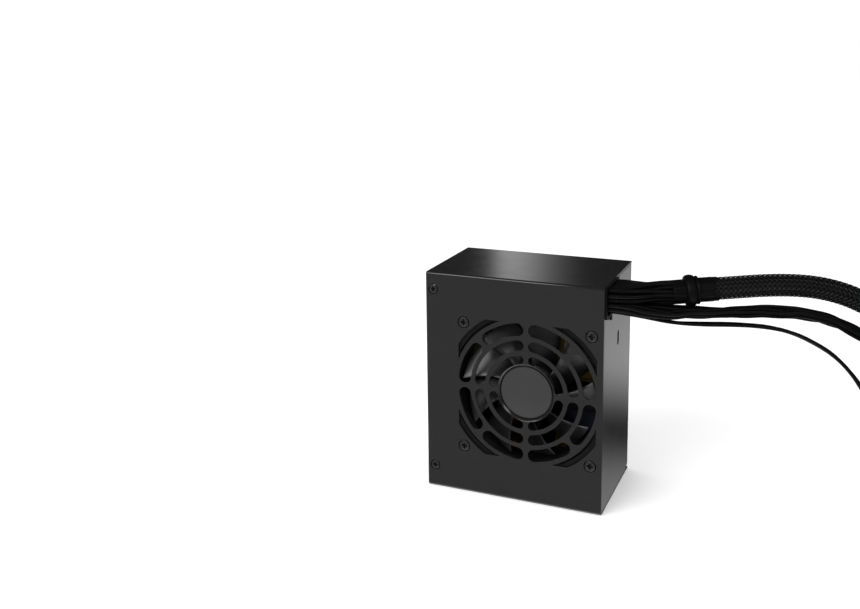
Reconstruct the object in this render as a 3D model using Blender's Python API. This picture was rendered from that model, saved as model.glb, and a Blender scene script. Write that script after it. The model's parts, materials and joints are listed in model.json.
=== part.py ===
"""A small form factor computer power supply, standing on a narrow side with its fan towards -Y.

The mains wall is at -X, the cables leave at +X. Sizes are in millimetres, and put() makes them metres.
"""

import math

import bmesh
import bpy
import numpy as np
from mathutils import Matrix, Vector

MM = 0.001
GAP = 0.3  # clear air between pieces that touch on the real object

# Case: the standard small form factor box, of bent sheet steel.
DEPTH, HEIGHT, WIDTH = 100.0, 63.5, 125.0  # along X, Y and Z
SHEET = 0.8
BEND = 1.2  # outer radius of a fold
SIDE = DEPTH / 2
FRONT = -HEIGHT / 2
BACK = HEIGHT / 2
INSIDE = FRONT + SHEET  # back of the fan panel
TRAY_FRONT = INSIDE + GAP
TRAY_LOW, TRAY_HIGH = SHEET + GAP, WIDTH - SHEET - GAP
FLANGE = 8.0  # the tray's lip behind the fan panel, on the mains side
COVER_SCREWS = [(-45.8, 12.6), (-45.8, 115.5)]
MOUNT_HOLES = [(y, z) for y in (-25.75, 25.75) for z in (6.0, 119.0)]
MOUNT_HOLE_RADIUS = 1.6

# Grille pressed into the fan panel, around the fan's axis.
FAN_X, FAN_Z = 7.8, 62.65
RINGS = [(16.2, 21.2, 4), (23.6, 29.6, 4), (31.9, 39.0, 8)]  # inner and outer radius, slots
SPOKE = 2.6
CORNER_RING = (41.3, 45.2)
CORNER_LIMIT = 38.8
DISH_RADIUS, DISH_DEPTH = 15.4, 2.0
BADGE_RADIUS = 14.9

# Fan: a standard 80 mm one, 15 mm deep. Depths count from the front of its frame.
FAN_SIZE, FAN_DEPTH = 80.0, 15.0
FAN_FRONT = TRAY_FRONT
FAN_HOLES = 35.75
BORE = 38.6
BLADES = 9
BLADE_TIP = 37.2
HUB_RADIUS, HUB_FRONT, HUB_BACK = 15.5, 3.2, 12.4
BLADE_FRONT, BLADE_BACK = 1.2, 11.6
BLADE_SWEEP = 15.5  # degrees that the front edge runs ahead from root to tip
BLADE_PHASE = 16.1  # degrees, front edge of the first blade at its tip
STRUT = 4.0
SEAT_RADIUS = 16.5

# Countersunk screws: head radius, shank radius, head depth, length.
FAN_SCREW = (3.4, 2.0, 1.7, 8.0)
COVER_SCREW = (3.2, 1.4, 1.6, 6.0)
INLET_SCREW = (2.8, 1.4, 1.4, 7.0)

# Mains wall: inlet, switch and honeycomb.
INLET_Z, INLET_BODY, INLET_SOCKET = 24.0, (27.0, 19.6), (24.2, 16.6)
INLET_FLANGE, INLET_FACE, INLET_BACK, SOCKET_FLOOR = 1.6, -51.9, -32.0, -35.6
PINS = {"line": (-7.0, 23.0), "neutral": (7.0, 23.0), "earth": (0.0, 27.0)}
SWITCH_Z, SWITCH_BEZEL, SWITCH_BODY = 48.0, (21.0, 15.0), (18.9, 12.7)
SWITCH_FACE, SWITCH_FLOOR, SWITCH_BACK = -51.3, -43.2, -37.0
ROCKER_AXIS_X, ROCKER_HALF, ROCKER_WIDE, ROCKER_TILT = -50.0, 7.9, 10.8, 9.0
HEX_ACROSS, HEX_PITCH = 6.0, 7.3
HEX_FIELD = (-23.5, 23.5, 63.0, 114.0)  # low and high Y, low and high Z

# Board.
BOARD = (-46.0, 46.0, 3.5, 121.5)  # low and high X, low and high Z
BOARD_FACE, BOARD_BACK = 25.7, 27.3
ON_BOARD = BOARD_FACE - GAP
BOARD_SCREWS = [(x, z) for x in (-42.0, 42.0) for z in (8.0, 102.0)]

# Cable outlet: a notch in the cable wall's corner, lined with a grommet.
NOTCH = (-4.4, 108.4)  # its high Y and its low Z
GROMMET_FACE = 52.5
LOOM = (-27.6, -7.4, 111.2, 121.6)  # the wires as they pass the grommet: Y and Z
LOOM_END = 54.2

# Cables: diameter, length and route, from the wall to the plug.
CABLES = {
    "atx": (12.0, 300.0, [
        (55, -15, 117.6), (60, -14.9, 117.7), (68, -13.4, 118.2), (79, -9.4, 119.9), (93, -3.8, 121.4),
        (107, 2.6, 122.2),
        (121, 9.2, 122.9), (136, 16, 122.9), (151, 22, 121.2), (165.5, 26.8, 116.8), (179, 30.2, 109.6),
        (191, 32.4, 99.4), (201, 33.6, 86.6), (209, 34, 72.2), (216.5, 33.6, 57.4), (224.8, 32, 43),
        (234.8, 28.4, 29.8), (246.6, 22, 18.8), (258.2, 12.4, 10.8), (265.4, 0, 7), (268, -14, 6.2),
        (268.4, -28, 6.2),
    ]),
    "cpu": (6.6, 350.0, [
        (55, -25.2, 113), (60, -25, 112.8), (68, -22.6, 111.8), (79, -16.6, 110.6), (93, -8.4, 110),
        (107, -0.6, 109.9),
        (121, 6.6, 109.9), (136, 13.4, 109.2), (151, 19, 106.4), (165, 23.4, 101), (177.5, 26.6, 92.8),
        (188, 28.8, 82), (196.5, 30, 69.2), (203.5, 30.4, 55.6), (210, 29.4, 41.8), (216.5, 26.2, 28.6),
        (222.8, 19.4, 17), (228, 9.4, 8.4), (230.8, -3, 4.2), (231.6, -17, 3.6), (232.6, -31, 3.6),
        (237, -44, 3.6), (247, -53, 3.6), (260, -56.6, 3.6), (273.4, -54.8, 3.6), (286, -50, 3.6),
    ]),
    "pcie": (6.6, 350.0, [
        (55, -5.4, 112.1), (60, -5.3, 111.7), (68, -4.2, 110), (79, -1.6, 108.3), (93, 2.8, 107.2),
        (107, 8.8, 106.9),
        (121, 15.8, 106.9), (136, 23.4, 106.2), (151, 30, 103.4), (165, 35.4, 98), (178, 39.6, 90),
        (189.5, 43, 79.4), (199.5, 46, 66.8), (208.5, 48.8, 53.2), (217.5, 52, 39.8), (228, 55.6, 27.6),
        (240.6, 59, 17), (254.6, 61.4, 9.4), (269, 61, 4.8), (282.4, 56.6, 3.6), (293, 47.8, 3.6),
        (300.4, 35.6, 3.6), (304, 22, 3.6), (305.4, 8, 3.6), (305.8, -6, 3.6),
    ]),
    "drive": (5.4, 350.0, [
        (55, -19, 107.4), (60, -18.7, 107.1), (68, -16.4, 106), (79, -11.6, 104.6), (93, -5.8, 103.6),
        (107, -0.8, 103.4),
        (121, 3.2, 103), (135, 7, 100.8), (148.5, 10.4, 95.4), (160.5, 13, 87.2), (170.5, 14.6, 76),
        (178.5, 15.4, 63.2), (185.6, 15.4, 49.6), (192.4, 14, 36.2), (199.4, 10.6, 23.6), (206, 4.4, 13),
        (210.6, -5, 5.8), (212.6, -17, 3.1), (211.4, -29.4, 3), (204.6, -39.4, 3), (195, -41, 3),
        (188.8, -33, 3), (187.6, -20, 3), (188.4, -6, 3), (189.6, 8, 3), (190.8, 22, 3), (192, 36, 3),
        (193, 48, 3),
    ]),
}
COLLAR_AT, COLLAR_LONG, COLLAR_RADIUS = 36.3, 8.0, 8.0
PLUG_LONG, PLUG_HIGH, PIN_PITCH = 14.5, 9.6, 4.2
PLUGS = {"atx": 12, "cpu": 4, "pcie": 4}  # columns of contacts, in two rows


# Making shapes

def material(name, colour, roughness, metallic=0.0):
    found = bpy.data.materials.get(name)
    if found:
        return found
    made = bpy.data.materials.new(name)
    made.use_nodes = True
    shader = made.node_tree.nodes["Principled BSDF"]
    shader.inputs["Base Color"].default_value = (*colour, 1.0)
    shader.inputs["Roughness"].default_value = roughness
    shader.inputs["Metallic"].default_value = metallic
    return made


def painted_steel():
    return material("painted_steel", (0.022, 0.021, 0.021), 0.42, 0.3)


def black_plastic():
    return material("black_plastic", (0.014, 0.014, 0.015), 0.5)


def dark_plastic():
    return material("dark_plastic", (0.03, 0.03, 0.032), 0.45)


def black_rubber():
    return material("black_rubber", (0.012, 0.012, 0.012), 0.7)


def black_screw():
    return material("black_screw", (0.03, 0.03, 0.03), 0.35, 0.8)


def bright_steel():
    return material("bright_steel", (0.55, 0.55, 0.56), 0.25, 1.0)


def wire_cover():
    return material("wire_cover", (0.013, 0.013, 0.014), 0.45)


def aluminium():
    return material("aluminium", (0.6, 0.6, 0.61), 0.35, 1.0)


def copper():
    return material("copper", (0.6, 0.25, 0.1), 0.35, 0.9)


def bronze():
    return material("bronze", (0.5, 0.32, 0.14), 0.4, 0.9)


def ferrite():
    return material("ferrite", (0.04, 0.04, 0.045), 0.6)


def board_green():
    return material("board_green", (0.03, 0.14, 0.06), 0.5)


def insulator():
    return material("insulator", (0.5, 0.5, 0.48), 0.5)


def capacitor_sleeve():
    return material("capacitor_sleeve", (0.02, 0.02, 0.03), 0.35)


def film_yellow():
    return material("film_yellow", (0.55, 0.4, 0.06), 0.5)


def winding_tape():
    return material("winding_tape", (0.5, 0.36, 0.06), 0.45)


def put(name, bm, centre, finish, smooth=False):
    """Make the shape an object in metres, with its origin at centre."""
    bmesh.ops.recalc_face_normals(bm, faces=bm.faces)
    bm.transform(Matrix.Scale(MM, 4) @ Matrix.Translation(-Vector(centre)))
    mesh = bpy.data.meshes.new(name)
    bm.to_mesh(mesh)
    bm.free()
    if smooth:
        mesh.shade_smooth()
        mesh.set_sharp_from_angle(angle=math.radians(35))
    made = bpy.data.objects.new(name, mesh)
    made.location = Vector(centre) * MM
    if finish:
        mesh.materials.append(finish)
    bpy.context.scene.collection.objects.link(made)
    return made


def combine(target, bm, operation, label, own_frame=False):
    """Cut the shape out of the target, or join it on. The shape may be drawn in the target's own frame."""
    tool = put(f"{label}_{target.name}", bm, (0, 0, 0), None)
    tool.hide_render = True
    tool.display_type = "WIRE"
    if own_frame:
        tool.parent = target
    change = target.modifiers.new(label, "BOOLEAN")
    change.operation = operation
    change.solver = "EXACT"
    change.object = tool


def soften(target, width, segments=1):
    edge = target.modifiers.new("edges", "BEVEL")
    edge.width = width * MM
    edge.segments = segments
    edge.limit_method = "ANGLE"


def add_box(bm, low, high):
    size = [b - a for a, b in zip(low, high)]
    middle = [(a + b) / 2 for a, b in zip(low, high)]
    bmesh.ops.create_cube(bm, size=1.0, matrix=Matrix.Translation(middle) @ Matrix.Diagonal((*size, 1)))


def block(name, low, high, finish, edge=0.0):
    bm = bmesh.new()
    add_box(bm, low, high)
    made = put(name, bm, [(a + b) / 2 for a, b in zip(low, high)], finish)
    if edge:
        soften(made, edge)
    return made


PLANES = {
    "X": lambda a, b, h: (h, a, b),
    "Y": lambda a, b, h: (a, h, b),
    "Z": lambda a, b, h: (a, b, h),
}


def add_prism(bm, outline, axis, low, high):
    """A flat outline drawn across the axis, extruded along it from low to high."""
    place = PLANES[axis]
    ends = [[bm.verts.new(place(a, b, h)) for a, b in outline] for h in (low, high)]
    bm.faces.new(ends[0])
    bm.faces.new(ends[1][::-1])
    for i in range(len(outline)):
        j = (i + 1) % len(outline)
        bm.faces.new((ends[0][j], ends[0][i], ends[1][i], ends[1][j]))


def add_turned(bm, profile, base, direction, steps=32):
    """A closed profile of (radius, height) points, turned about a line from base along direction."""
    turn = Vector((0, 0, 1)).rotation_difference(Vector(direction)).to_matrix()
    rings = []
    for radius, height in profile:
        count = steps if radius > 1e-6 else 1
        angles = [math.tau * i / steps for i in range(count)]
        spots = [Vector((radius * math.cos(a), radius * math.sin(a), height)) for a in angles]
        rings.append([bm.verts.new(Vector(base) + turn @ s) for s in spots])
    for a, b in zip(rings, rings[1:] + rings[:1]):
        for i in range(steps):
            corners = [a[i % len(a)], a[(i + 1) % len(a)], b[(i + 1) % len(b)], b[i % len(b)]]
            corners = list(dict.fromkeys(corners))
            if len(corners) > 2:
                bm.faces.new(corners)


def turned(name, profile, base, direction, finish, steps=32):
    bm = bmesh.new()
    add_turned(bm, profile, base, direction, steps)
    return put(name, bm, base, finish, smooth=True)


def arc(centre, radius, start, end, steps):
    """Points from start to end, in degrees, both included."""
    angles = [math.radians(start + (end - start) * i / steps) for i in range(steps + 1)]
    return [(centre[0] + radius * math.cos(a), centre[1] + radius * math.sin(a)) for a in angles]


def polar(radius, degrees):
    return radius * math.cos(math.radians(degrees)), radius * math.sin(math.radians(degrees))


def around_fan(points, degrees):
    """Points drawn about the fan's axis, turned and moved to it."""
    turn = Matrix.Rotation(math.radians(degrees), 2)
    return [(FAN_X + q.x, FAN_Z + q.y) for q in (turn @ Vector(p) for p in points)]


def rectangle(centre, size, corner=0.0, steps=4):
    x, y = size[0] / 2 - corner, size[1] / 2 - corner
    if not corner:
        return [(centre[0] + a * x, centre[1] + b * y) for a, b in ((1, 1), (-1, 1), (-1, -1), (1, -1))]
    points = []
    for k, (a, b) in enumerate(((1, 1), (-1, 1), (-1, -1), (1, -1))):
        points += arc((centre[0] + a * x, centre[1] + b * y), corner, 90 * k, 90 * k + 90, steps)
    return points


def folded(path, radius, thickness):
    """Outline of a strip that is bent to the left at each right-angled corner of its outer line."""
    path = [Vector(p) for p in path]
    ways = [(b - a).normalized() for a, b in zip(path, path[1:])]
    left = [Vector((-w.y, w.x)) for w in ways]
    outer, inner = [path[0]], [path[0] + left[0] * thickness]
    for corner, before, after in zip(path[1:-1], ways, ways[1:]):
        centre = corner + (after - before) * radius
        for t in (0, 30, 60, 90):
            out = before * math.sin(math.radians(t)) - after * math.cos(math.radians(t))
            outer.append(centre + out * radius)
            inner.append(centre + out * (radius - thickness))
    outer.append(path[-1])
    inner.append(path[-1] + left[-1] * thickness)
    return [tuple(p) for p in outer + inner[::-1]]


# Case

def ring_slot(inner, outer, start, end):
    """A slot along a ring of the grille, with round ends."""
    middle, half = (inner + outer) / 2, (outer - inner) / 2
    cut = math.degrees(math.asin((SPOKE / 2 + half) / middle))
    first, last = start + cut, end - cut
    steps = max(3, round((last - first) / 12))
    centre = around_fan([polar(middle, first), polar(middle, last)], 0)
    fan = (FAN_X, FAN_Z)
    return (arc(fan, outer, first, last, steps)[:-1] + arc(centre[1], half, last, last + 180, 5)[:-1]
            + arc(fan, inner, last, first, steps)[:-1] + arc(centre[0], half, first - 180, first, 5)[:-1])


def corner_slot(start):
    """A crescent outside the rings, where the fan frame's face shows."""
    inner, outer = CORNER_RING
    first, last = (math.degrees(math.acos(CORNER_LIMIT / r)) for r in CORNER_RING)
    fan = (FAN_X, FAN_Z)
    return (arc(fan, outer, start + last, start + 90 - last, 6)
            + arc(fan, inner, start + 90 - first, start + first, 8))


def add_screw_seat(bm, spot, direction, screw):
    """The hole for a countersunk screw, a little wider than the screw."""
    head, shank, deep, length = screw
    profile = [(0, -1), (head + GAP, -1), (head + GAP, 0.2), (shank + GAP, deep + 0.2),
               (shank + GAP, length + GAP), (0, length + GAP)]
    add_turned(bm, profile, spot, direction, 16)


def screw(name, spot, direction, size):
    """A countersunk cross-head screw, its face flush at spot."""
    head, shank, deep, length = size
    made = turned(name, [(0, 0), (head, 0), (head, 0.2), (shank, deep), (shank, length), (0, length)],
                  spot, direction, black_screw(), 16)
    bm = bmesh.new()
    arm, half = head * 0.58, head * 0.13
    cross = [(arm, half), (half, half), (half, arm), (-half, arm), (-half, half), (-arm, half),
             (-arm, -half), (-half, -half), (-half, -arm), (half, -arm), (half, -half), (arm, -half)]
    axis = "Y" if abs(direction[1]) > 0.5 else "X"
    sign = direction[1] + direction[0]
    flat = [(spot[0], spot[2]), (spot[1], spot[2])][axis == "X"]
    level = spot[1] if axis == "Y" else spot[0]
    ends = sorted((level - sign * 0.5, level + sign * 1.0))
    add_prism(bm, [(flat[0] + a, flat[1] + b) for a, b in cross], axis, *ends)
    combine(made, bm, "DIFFERENCE", "recess")
    return made


def fan_cover():
    bm = bmesh.new()
    add_prism(bm, folded([(BACK, WIDTH), (FRONT, WIDTH), (FRONT, 0), (BACK, 0)], BEND, SHEET),
              "X", -SIDE, SIDE)
    cover = put("fan_cover", bm, (0, 0, WIDTH / 2), painted_steel())
    hub = (FAN_X, FRONT, FAN_Z)

    bm = bmesh.new()
    add_turned(bm, [(0, -1), (DISH_RADIUS + 0.8, -1), (DISH_RADIUS + 0.8, 2), (0, 2)], hub, (0, 1, 0), 40)
    combine(cover, bm, "DIFFERENCE", "hub_hole")

    bm = bmesh.new()
    rim = DISH_RADIUS + 1.2
    add_turned(bm, [(0, DISH_DEPTH), (DISH_RADIUS, DISH_DEPTH), (DISH_RADIUS + 0.5, 0), (rim, 0),
                    (rim, SHEET), (DISH_RADIUS + 0.8, SHEET), (DISH_RADIUS + 0.3, DISH_DEPTH + SHEET),
                    (0, DISH_DEPTH + SHEET)], hub, (0, 1, 0), 40)
    combine(cover, bm, "UNION", "dish")

    bm = bmesh.new()
    for inner, outer, count in RINGS:
        for k in range(count):
            turn = 360 / count
            add_prism(bm, ring_slot(inner, outer, k * turn, k * turn + turn), "Y", FRONT - 1, INSIDE + 1)
    for start in (0, 90, 180, 270):
        add_prism(bm, corner_slot(start), "Y", FRONT - 1, INSIDE + 1)
    for x, z in COVER_SCREWS:
        add_screw_seat(bm, (x, FRONT, z), (0, 1, 0), COVER_SCREW)
    for x, z in fan_hole_places():
        add_screw_seat(bm, (x, FRONT, z), (0, 1, 0), FAN_SCREW)
    for x, size in ((35, (4, 4)), (24, (7, 2.6)), (7, (17, 2.6)), (-15, (17, 2.6))):
        add_prism(bm, rectangle((x, BACK - 7), size, size[1] / 2 - 0.01, 3), "Z", -1, SHEET + 1)
    combine(cover, bm, "DIFFERENCE", "slots")


def fan_hole_places():
    return [(FAN_X + a * FAN_HOLES, FAN_Z + b * FAN_HOLES) for a in (-1, 1) for b in (-1, 1)]


def honeycomb():
    """Centres of the exhaust holes, in staggered rows."""
    low_y, high_y, low_z, high_z = HEX_FIELD
    rise = HEX_PITCH * math.sqrt(3) / 2
    rows = int((high_z - low_z) / rise) + 1
    places = []
    for row in range(rows):
        count = 7 - row % 2
        for k in range(count):
            places.append(((k - (count - 1) / 2) * HEX_PITCH, low_z + row * rise))
    return [(y, z) for y, z in places if low_y <= y <= high_y]


def base_tray():
    path = [(SIDE, TRAY_FRONT), (SIDE, BACK), (-SIDE, BACK), (-SIDE, TRAY_FRONT),
            (-SIDE + FLANGE, TRAY_FRONT)]
    bm = bmesh.new()
    add_prism(bm, folded(path, BEND, SHEET), "Z", TRAY_LOW, TRAY_HIGH)
    tray = put("base_tray", bm, (0, 0, WIDTH / 2), painted_steel())

    bm = bmesh.new()
    for x, z in BOARD_SCREWS:
        add_turned(bm, [(0, 0), (3.2, 0), (3.2, 3.6), (0, 3.6)], (x, BOARD_BACK + GAP, z), (0, 1, 0), 16)
    combine(tray, bm, "UNION", "standoffs")

    bm = bmesh.new()
    hexagon = HEX_ACROSS / math.sqrt(3)
    for y, z in honeycomb():
        add_prism(bm, arc((y, z), hexagon, 30, 330, 5), "X", -SIDE - 1, -SIDE + 2)
    for y, z in MOUNT_HOLES:
        add_prism(bm, arc((y, z), MOUNT_HOLE_RADIUS, 0, 330, 11), "X", -SIDE - 1, -SIDE + 2)
    for centre, body in ((INLET_Z, INLET_BODY), (SWITCH_Z, SWITCH_BODY)):
        hole = (body[0] + 2 * GAP, body[1] + 2 * GAP)
        add_prism(bm, rectangle((0, centre), hole), "X", -SIDE - 1, -SIDE + 2)
    for side in (-1, 1):
        add_prism(bm, arc((side * 20, INLET_Z), INLET_SCREW[1] + GAP, 0, 330, 11), "X", -SIDE - 1, -SIDE + 2)
    for k in range(3):
        add_prism(bm, rectangle((FRONT + 47.5, WIDTH - 10 - 5 * k), (17, 2.6), 1.29, 3),
                  "X", SIDE - 2, SIDE + 1)
    add_prism(bm, rectangle((FRONT + 32.3, 89.3), (3.6, 8.2), 1.79, 4), "X", SIDE - 2, SIDE + 1)
    add_box(bm, (SIDE - 2, FRONT - 1, NOTCH[1]), (SIDE + 1, NOTCH[0], WIDTH))
    add_box(bm, (SIDE - 5, BACK - 5, -1), (SIDE + 1, BACK + 1, 2.6))
    for x, z in COVER_SCREWS:
        add_screw_seat(bm, (x, FRONT, z), (0, 1, 0), COVER_SCREW)
    for x, z in BOARD_SCREWS:
        add_turned(bm, [(0, -1), (1.8, -1), (1.8, 3.2), (0, 3.2)], (x, BOARD_BACK, z), (0, 1, 0), 12)
    combine(tray, bm, "DIFFERENCE", "openings")


def case_screws():
    turned("hub_badge", [(0, 1.1), (BADGE_RADIUS - 0.3, 1.1), (BADGE_RADIUS, 1.4), (BADGE_RADIUS, 1.7),
                         (0, 1.7)], (FAN_X, FRONT, FAN_Z), (0, 1, 0), dark_plastic(), 40)
    for k, (x, z) in enumerate(COVER_SCREWS):
        screw(f"cover_screw_{k + 1}", (x, FRONT, z), (0, 1, 0), COVER_SCREW)
    for k, (x, z) in enumerate(fan_hole_places()):
        screw(f"fan_screw_{k + 1}", (x, FRONT, z), (0, 1, 0), FAN_SCREW)


# Fan

def at_fan(depth=0.0):
    return (FAN_X, FAN_FRONT + depth, FAN_Z)


def fan_frame():
    bm = bmesh.new()
    add_prism(bm, rectangle((FAN_X, FAN_Z), (FAN_SIZE, FAN_SIZE), 5), "Y", FAN_FRONT, FAN_FRONT + FAN_DEPTH)
    frame = put("fan_frame", bm, at_fan(), black_plastic())

    bm = bmesh.new()
    add_turned(bm, [(0, -1), (BORE, -1), (BORE, 13), (0, 13)], at_fan(), (0, 1, 0), 52)
    combine(frame, bm, "DIFFERENCE", "bore")

    bm = bmesh.new()
    half = math.degrees(STRUT / 2 / SEAT_RADIUS), math.degrees(STRUT / 2 / BORE)
    for k in range(4):
        start = 90 * k + 45
        add_prism(bm, arc((FAN_X, FAN_Z), BORE, start + half[1], start + 90 - half[1], 14)
                  + arc((FAN_X, FAN_Z), SEAT_RADIUS, start + 90 - half[0], start + half[0], 8),
                  "Y", FAN_FRONT + 12, FAN_FRONT + FAN_DEPTH + 1)
        pocket = arc((0, 0), 41.0, 16, 74, 6) + [(11.3, 46), (46, 46), (46, 11.3)]
        add_prism(bm, around_fan(pocket, 90 * k), "Y", FAN_FRONT + 4, FAN_FRONT + 11.5)
    combine(frame, bm, "DIFFERENCE", "openings")

    bm = bmesh.new()
    for x, z in fan_hole_places():
        add_screw_seat(bm, (x, FRONT, z), (0, 1, 0), FAN_SCREW)
    combine(frame, bm, "DIFFERENCE", "screw_holes")

    bm = bmesh.new()
    add_turned(bm, [(3.6, 5.5), (5.0, 5.5), (5.0, 13.5), (3.6, 13.5)], at_fan(), (0, 1, 0), 24)
    combine(frame, bm, "UNION", "bearing_tube")


def add_blade(bm, phase):
    """One blade: a thin twisted sheet from the hub to the tip, thicker at its root."""
    spans, chords = 5, 5
    sides = ([], [])
    for i in range(spans):
        along = i / (spans - 1)
        radius = HUB_RADIUS - 0.6 + (BLADE_TIP - HUB_RADIUS + 0.6) * along
        lead = phase - BLADE_SWEEP * (1 - along)
        width = 34 - 3 * along
        thick = 1.5 - 0.6 * along
        rows = ([], [])
        for j in range(chords):
            back = j / (chords - 1)
            angle = math.radians(lead - width * back)
            deep = (BLADE_BACK - BLADE_FRONT - 1) * (1.25 - 0.25 * back) * back
            depth = BLADE_FRONT + 0.8 * (1 - along) + deep
            x, z = radius * math.cos(angle), radius * math.sin(angle)
            spot = Vector(at_fan(depth)) + Vector((x, 0, z))
            for k in (0, 1):
                rows[k].append(bm.verts.new(spot + Vector((0, k * thick, 0))))
        sides[0].append(rows[0])
        sides[1].append(rows[1])
    for i in range(spans - 1):
        for j in range(chords - 1):
            for s in sides:
                bm.faces.new((s[i][j], s[i + 1][j], s[i + 1][j + 1], s[i][j + 1]))
    a, b = sides
    for i in range(spans - 1):
        for j in (0, chords - 1):
            bm.faces.new((a[i][j], a[i + 1][j], b[i + 1][j], b[i][j]))
    for j in range(chords - 1):
        for i in (0, spans - 1):
            bm.faces.new((a[i][j], a[i][j + 1], b[i][j + 1], b[i][j]))


def fan_rotor():
    bm = bmesh.new()
    hub = [(0, HUB_FRONT), (14.5, HUB_FRONT), (HUB_RADIUS, 4.2), (HUB_RADIUS, HUB_BACK), (14.0, HUB_BACK),
           (14.0, 4.6), (3.0, 4.6), (3.0, 5.6), (1.8, 5.6), (1.8, 4.6), (0, 4.6)]
    add_turned(bm, hub, at_fan(), (0, 1, 0), 36)
    rotor = put("fan_rotor", bm, at_fan(), black_plastic(), smooth=True)
    bm = bmesh.new()
    for k in range(BLADES):
        add_blade(bm, BLADE_PHASE + 360 / BLADES * k)
    combine(rotor, bm, "UNION", "blades")


def stator_outline():
    """Four poles with wide shoes on a small ring."""
    shoe, stem, root = 11.8, 2.05, 6.6
    pole = [polar(root, -28), polar(root, -18), (10.3, -stem), polar(10.6, -34)]
    pole += arc((0, 0), shoe, -34, 34, 6)
    pole += [polar(10.6, 34), (10.3, stem), polar(root, 18), polar(root, 28)]
    return [p for k in range(4) for p in around_fan(pole, 90 * k)]


def fan_motor():
    turned("fan_magnet", [(12.4, 5.2), (13.7, 5.2), (13.7, 12.0), (12.4, 12.0)], at_fan(), (0, 1, 0),
           ferrite(), 28)
    turned("fan_shaft", [(0, 4.9), (1.5, 4.9), (1.5, 12.9), (0, 12.9)], at_fan(), (0, 1, 0),
           bright_steel(), 24)
    turned("fan_bearing", [(1.6, 6.0), (3.3, 6.0), (3.3, 12.6), (1.6, 12.6)], at_fan(), (0, 1, 0),
           bronze(), 24)
    bm = bmesh.new()
    add_prism(bm, stator_outline(), "Y", FAN_FRONT + 7, FAN_FRONT + 11)
    core = put("fan_stator", bm, at_fan(), ferrite())
    bm = bmesh.new()
    add_turned(bm, [(0, 5), (5.3, 5), (5.3, 12), (0, 12)], at_fan(), (0, 1, 0), 24)
    combine(core, bm, "DIFFERENCE", "bore")
    for k in range(4):
        bm = bmesh.new()
        add_box(bm, (7.0, -3.6, -3.3), (9.3, 3.6, 3.3))
        coil = put(f"fan_coil_{k + 1}", bm, (0, 0, 0), copper())
        bm = bmesh.new()
        add_box(bm, (6.0, -2.4, -2.4), (11.0, 2.4, 2.4))
        combine(coil, bm, "DIFFERENCE", "core_hole", own_frame=True)
        coil.location = Vector(at_fan(9.0)) * MM
        coil.rotation_euler = (math.radians(90), 0, 0)
        coil.rotation_euler.rotate_axis("Z", math.radians(90 * k))


# Mains side

def inlet():
    flange = (rectangle((0, 0), (28, 22.4))[:1] + rectangle((0, 0), (28, 22.4))[1:2]
              + arc((-20, 0), 5, 128, 232, 6) + rectangle((0, 0), (28, 22.4))[2:]
              + arc((20, 0), 5, -52, 52, 6))
    bm = bmesh.new()
    add_prism(bm, [(y, z + INLET_Z) for y, z in flange], "X", INLET_FACE, INLET_FACE + INLET_FLANGE)
    socket = put("inlet_socket", bm, (INLET_FACE, 0, INLET_Z), black_plastic())
    bm = bmesh.new()
    add_prism(bm, rectangle((0, INLET_Z), INLET_BODY), "X", INLET_FACE + 0.5, INLET_BACK)
    combine(socket, bm, "UNION", "body")
    bm = bmesh.new()
    y, z = INLET_SOCKET[0] / 2, INLET_SOCKET[1] / 2
    shape = [(-y, -z), (y, -z), (y, z - 4.5), (y - 4.5, z), (-y + 4.5, z), (-y, z - 4.5)]
    add_prism(bm, [(a, b + INLET_Z) for a, b in shape], "X", INLET_FACE - 1, SOCKET_FLOOR)
    for side in (-1, 1):
        add_screw_seat(bm, (INLET_FACE, side * 20, INLET_Z), (1, 0, 0), INLET_SCREW)
    combine(socket, bm, "DIFFERENCE", "socket")
    bm = bmesh.new()
    for a, b in PINS.values():
        add_prism(bm, rectangle((a, b), (2 + 2 * GAP, 4 + 2 * GAP)), "X", SOCKET_FLOOR - 1, INLET_BACK + 1)
    combine(socket, bm, "DIFFERENCE", "pin_slots")
    for name, (a, b) in PINS.items():
        block(f"inlet_pin_{name}", (-49.0, a - 1, b - 2), (INLET_BACK + 6, a + 1, b + 2), bright_steel(), 0.4)
    for k, side in enumerate((-1, 1)):
        screw(f"inlet_screw_{k + 1}", (INLET_FACE, side * 20, INLET_Z), (1, 0, 0), INLET_SCREW)


def switch():
    bm = bmesh.new()
    add_prism(bm, rectangle((0, SWITCH_Z), SWITCH_BEZEL), "X", SWITCH_FACE, -SIDE - GAP)
    housing = put("switch_housing", bm, (SWITCH_FACE, 0, SWITCH_Z), black_plastic())
    bm = bmesh.new()
    add_prism(bm, rectangle((0, SWITCH_Z), SWITCH_BODY), "X", SWITCH_FACE + 0.4, SWITCH_BACK)
    combine(housing, bm, "UNION", "body")
    bm = bmesh.new()
    add_prism(bm, rectangle((0, SWITCH_Z), (17.2, ROCKER_WIDE + 2 * GAP)), "X", SWITCH_FACE - 1, SWITCH_FLOOR)
    combine(housing, bm, "DIFFERENCE", "well")

    end = ROCKER_HALF
    outline = [(-1.2, -end), (-0.4, -end / 2), (-0.15, 0), (-0.4, end / 2), (-1.2, end), (3.0, end),
               (5.6, 1.5), (5.6, -1.5), (3.0, -end)]
    bm = bmesh.new()
    add_prism(bm, outline, "Z", -ROCKER_WIDE / 2, ROCKER_WIDE / 2)
    rocker = put("switch_rocker", bm, (0, 0, 0), dark_plastic())
    rocker.location = Vector((ROCKER_AXIS_X, 0, SWITCH_Z)) * MM
    rocker.rotation_euler = (0, 0, math.radians(-ROCKER_TILT))


# Inside

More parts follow.
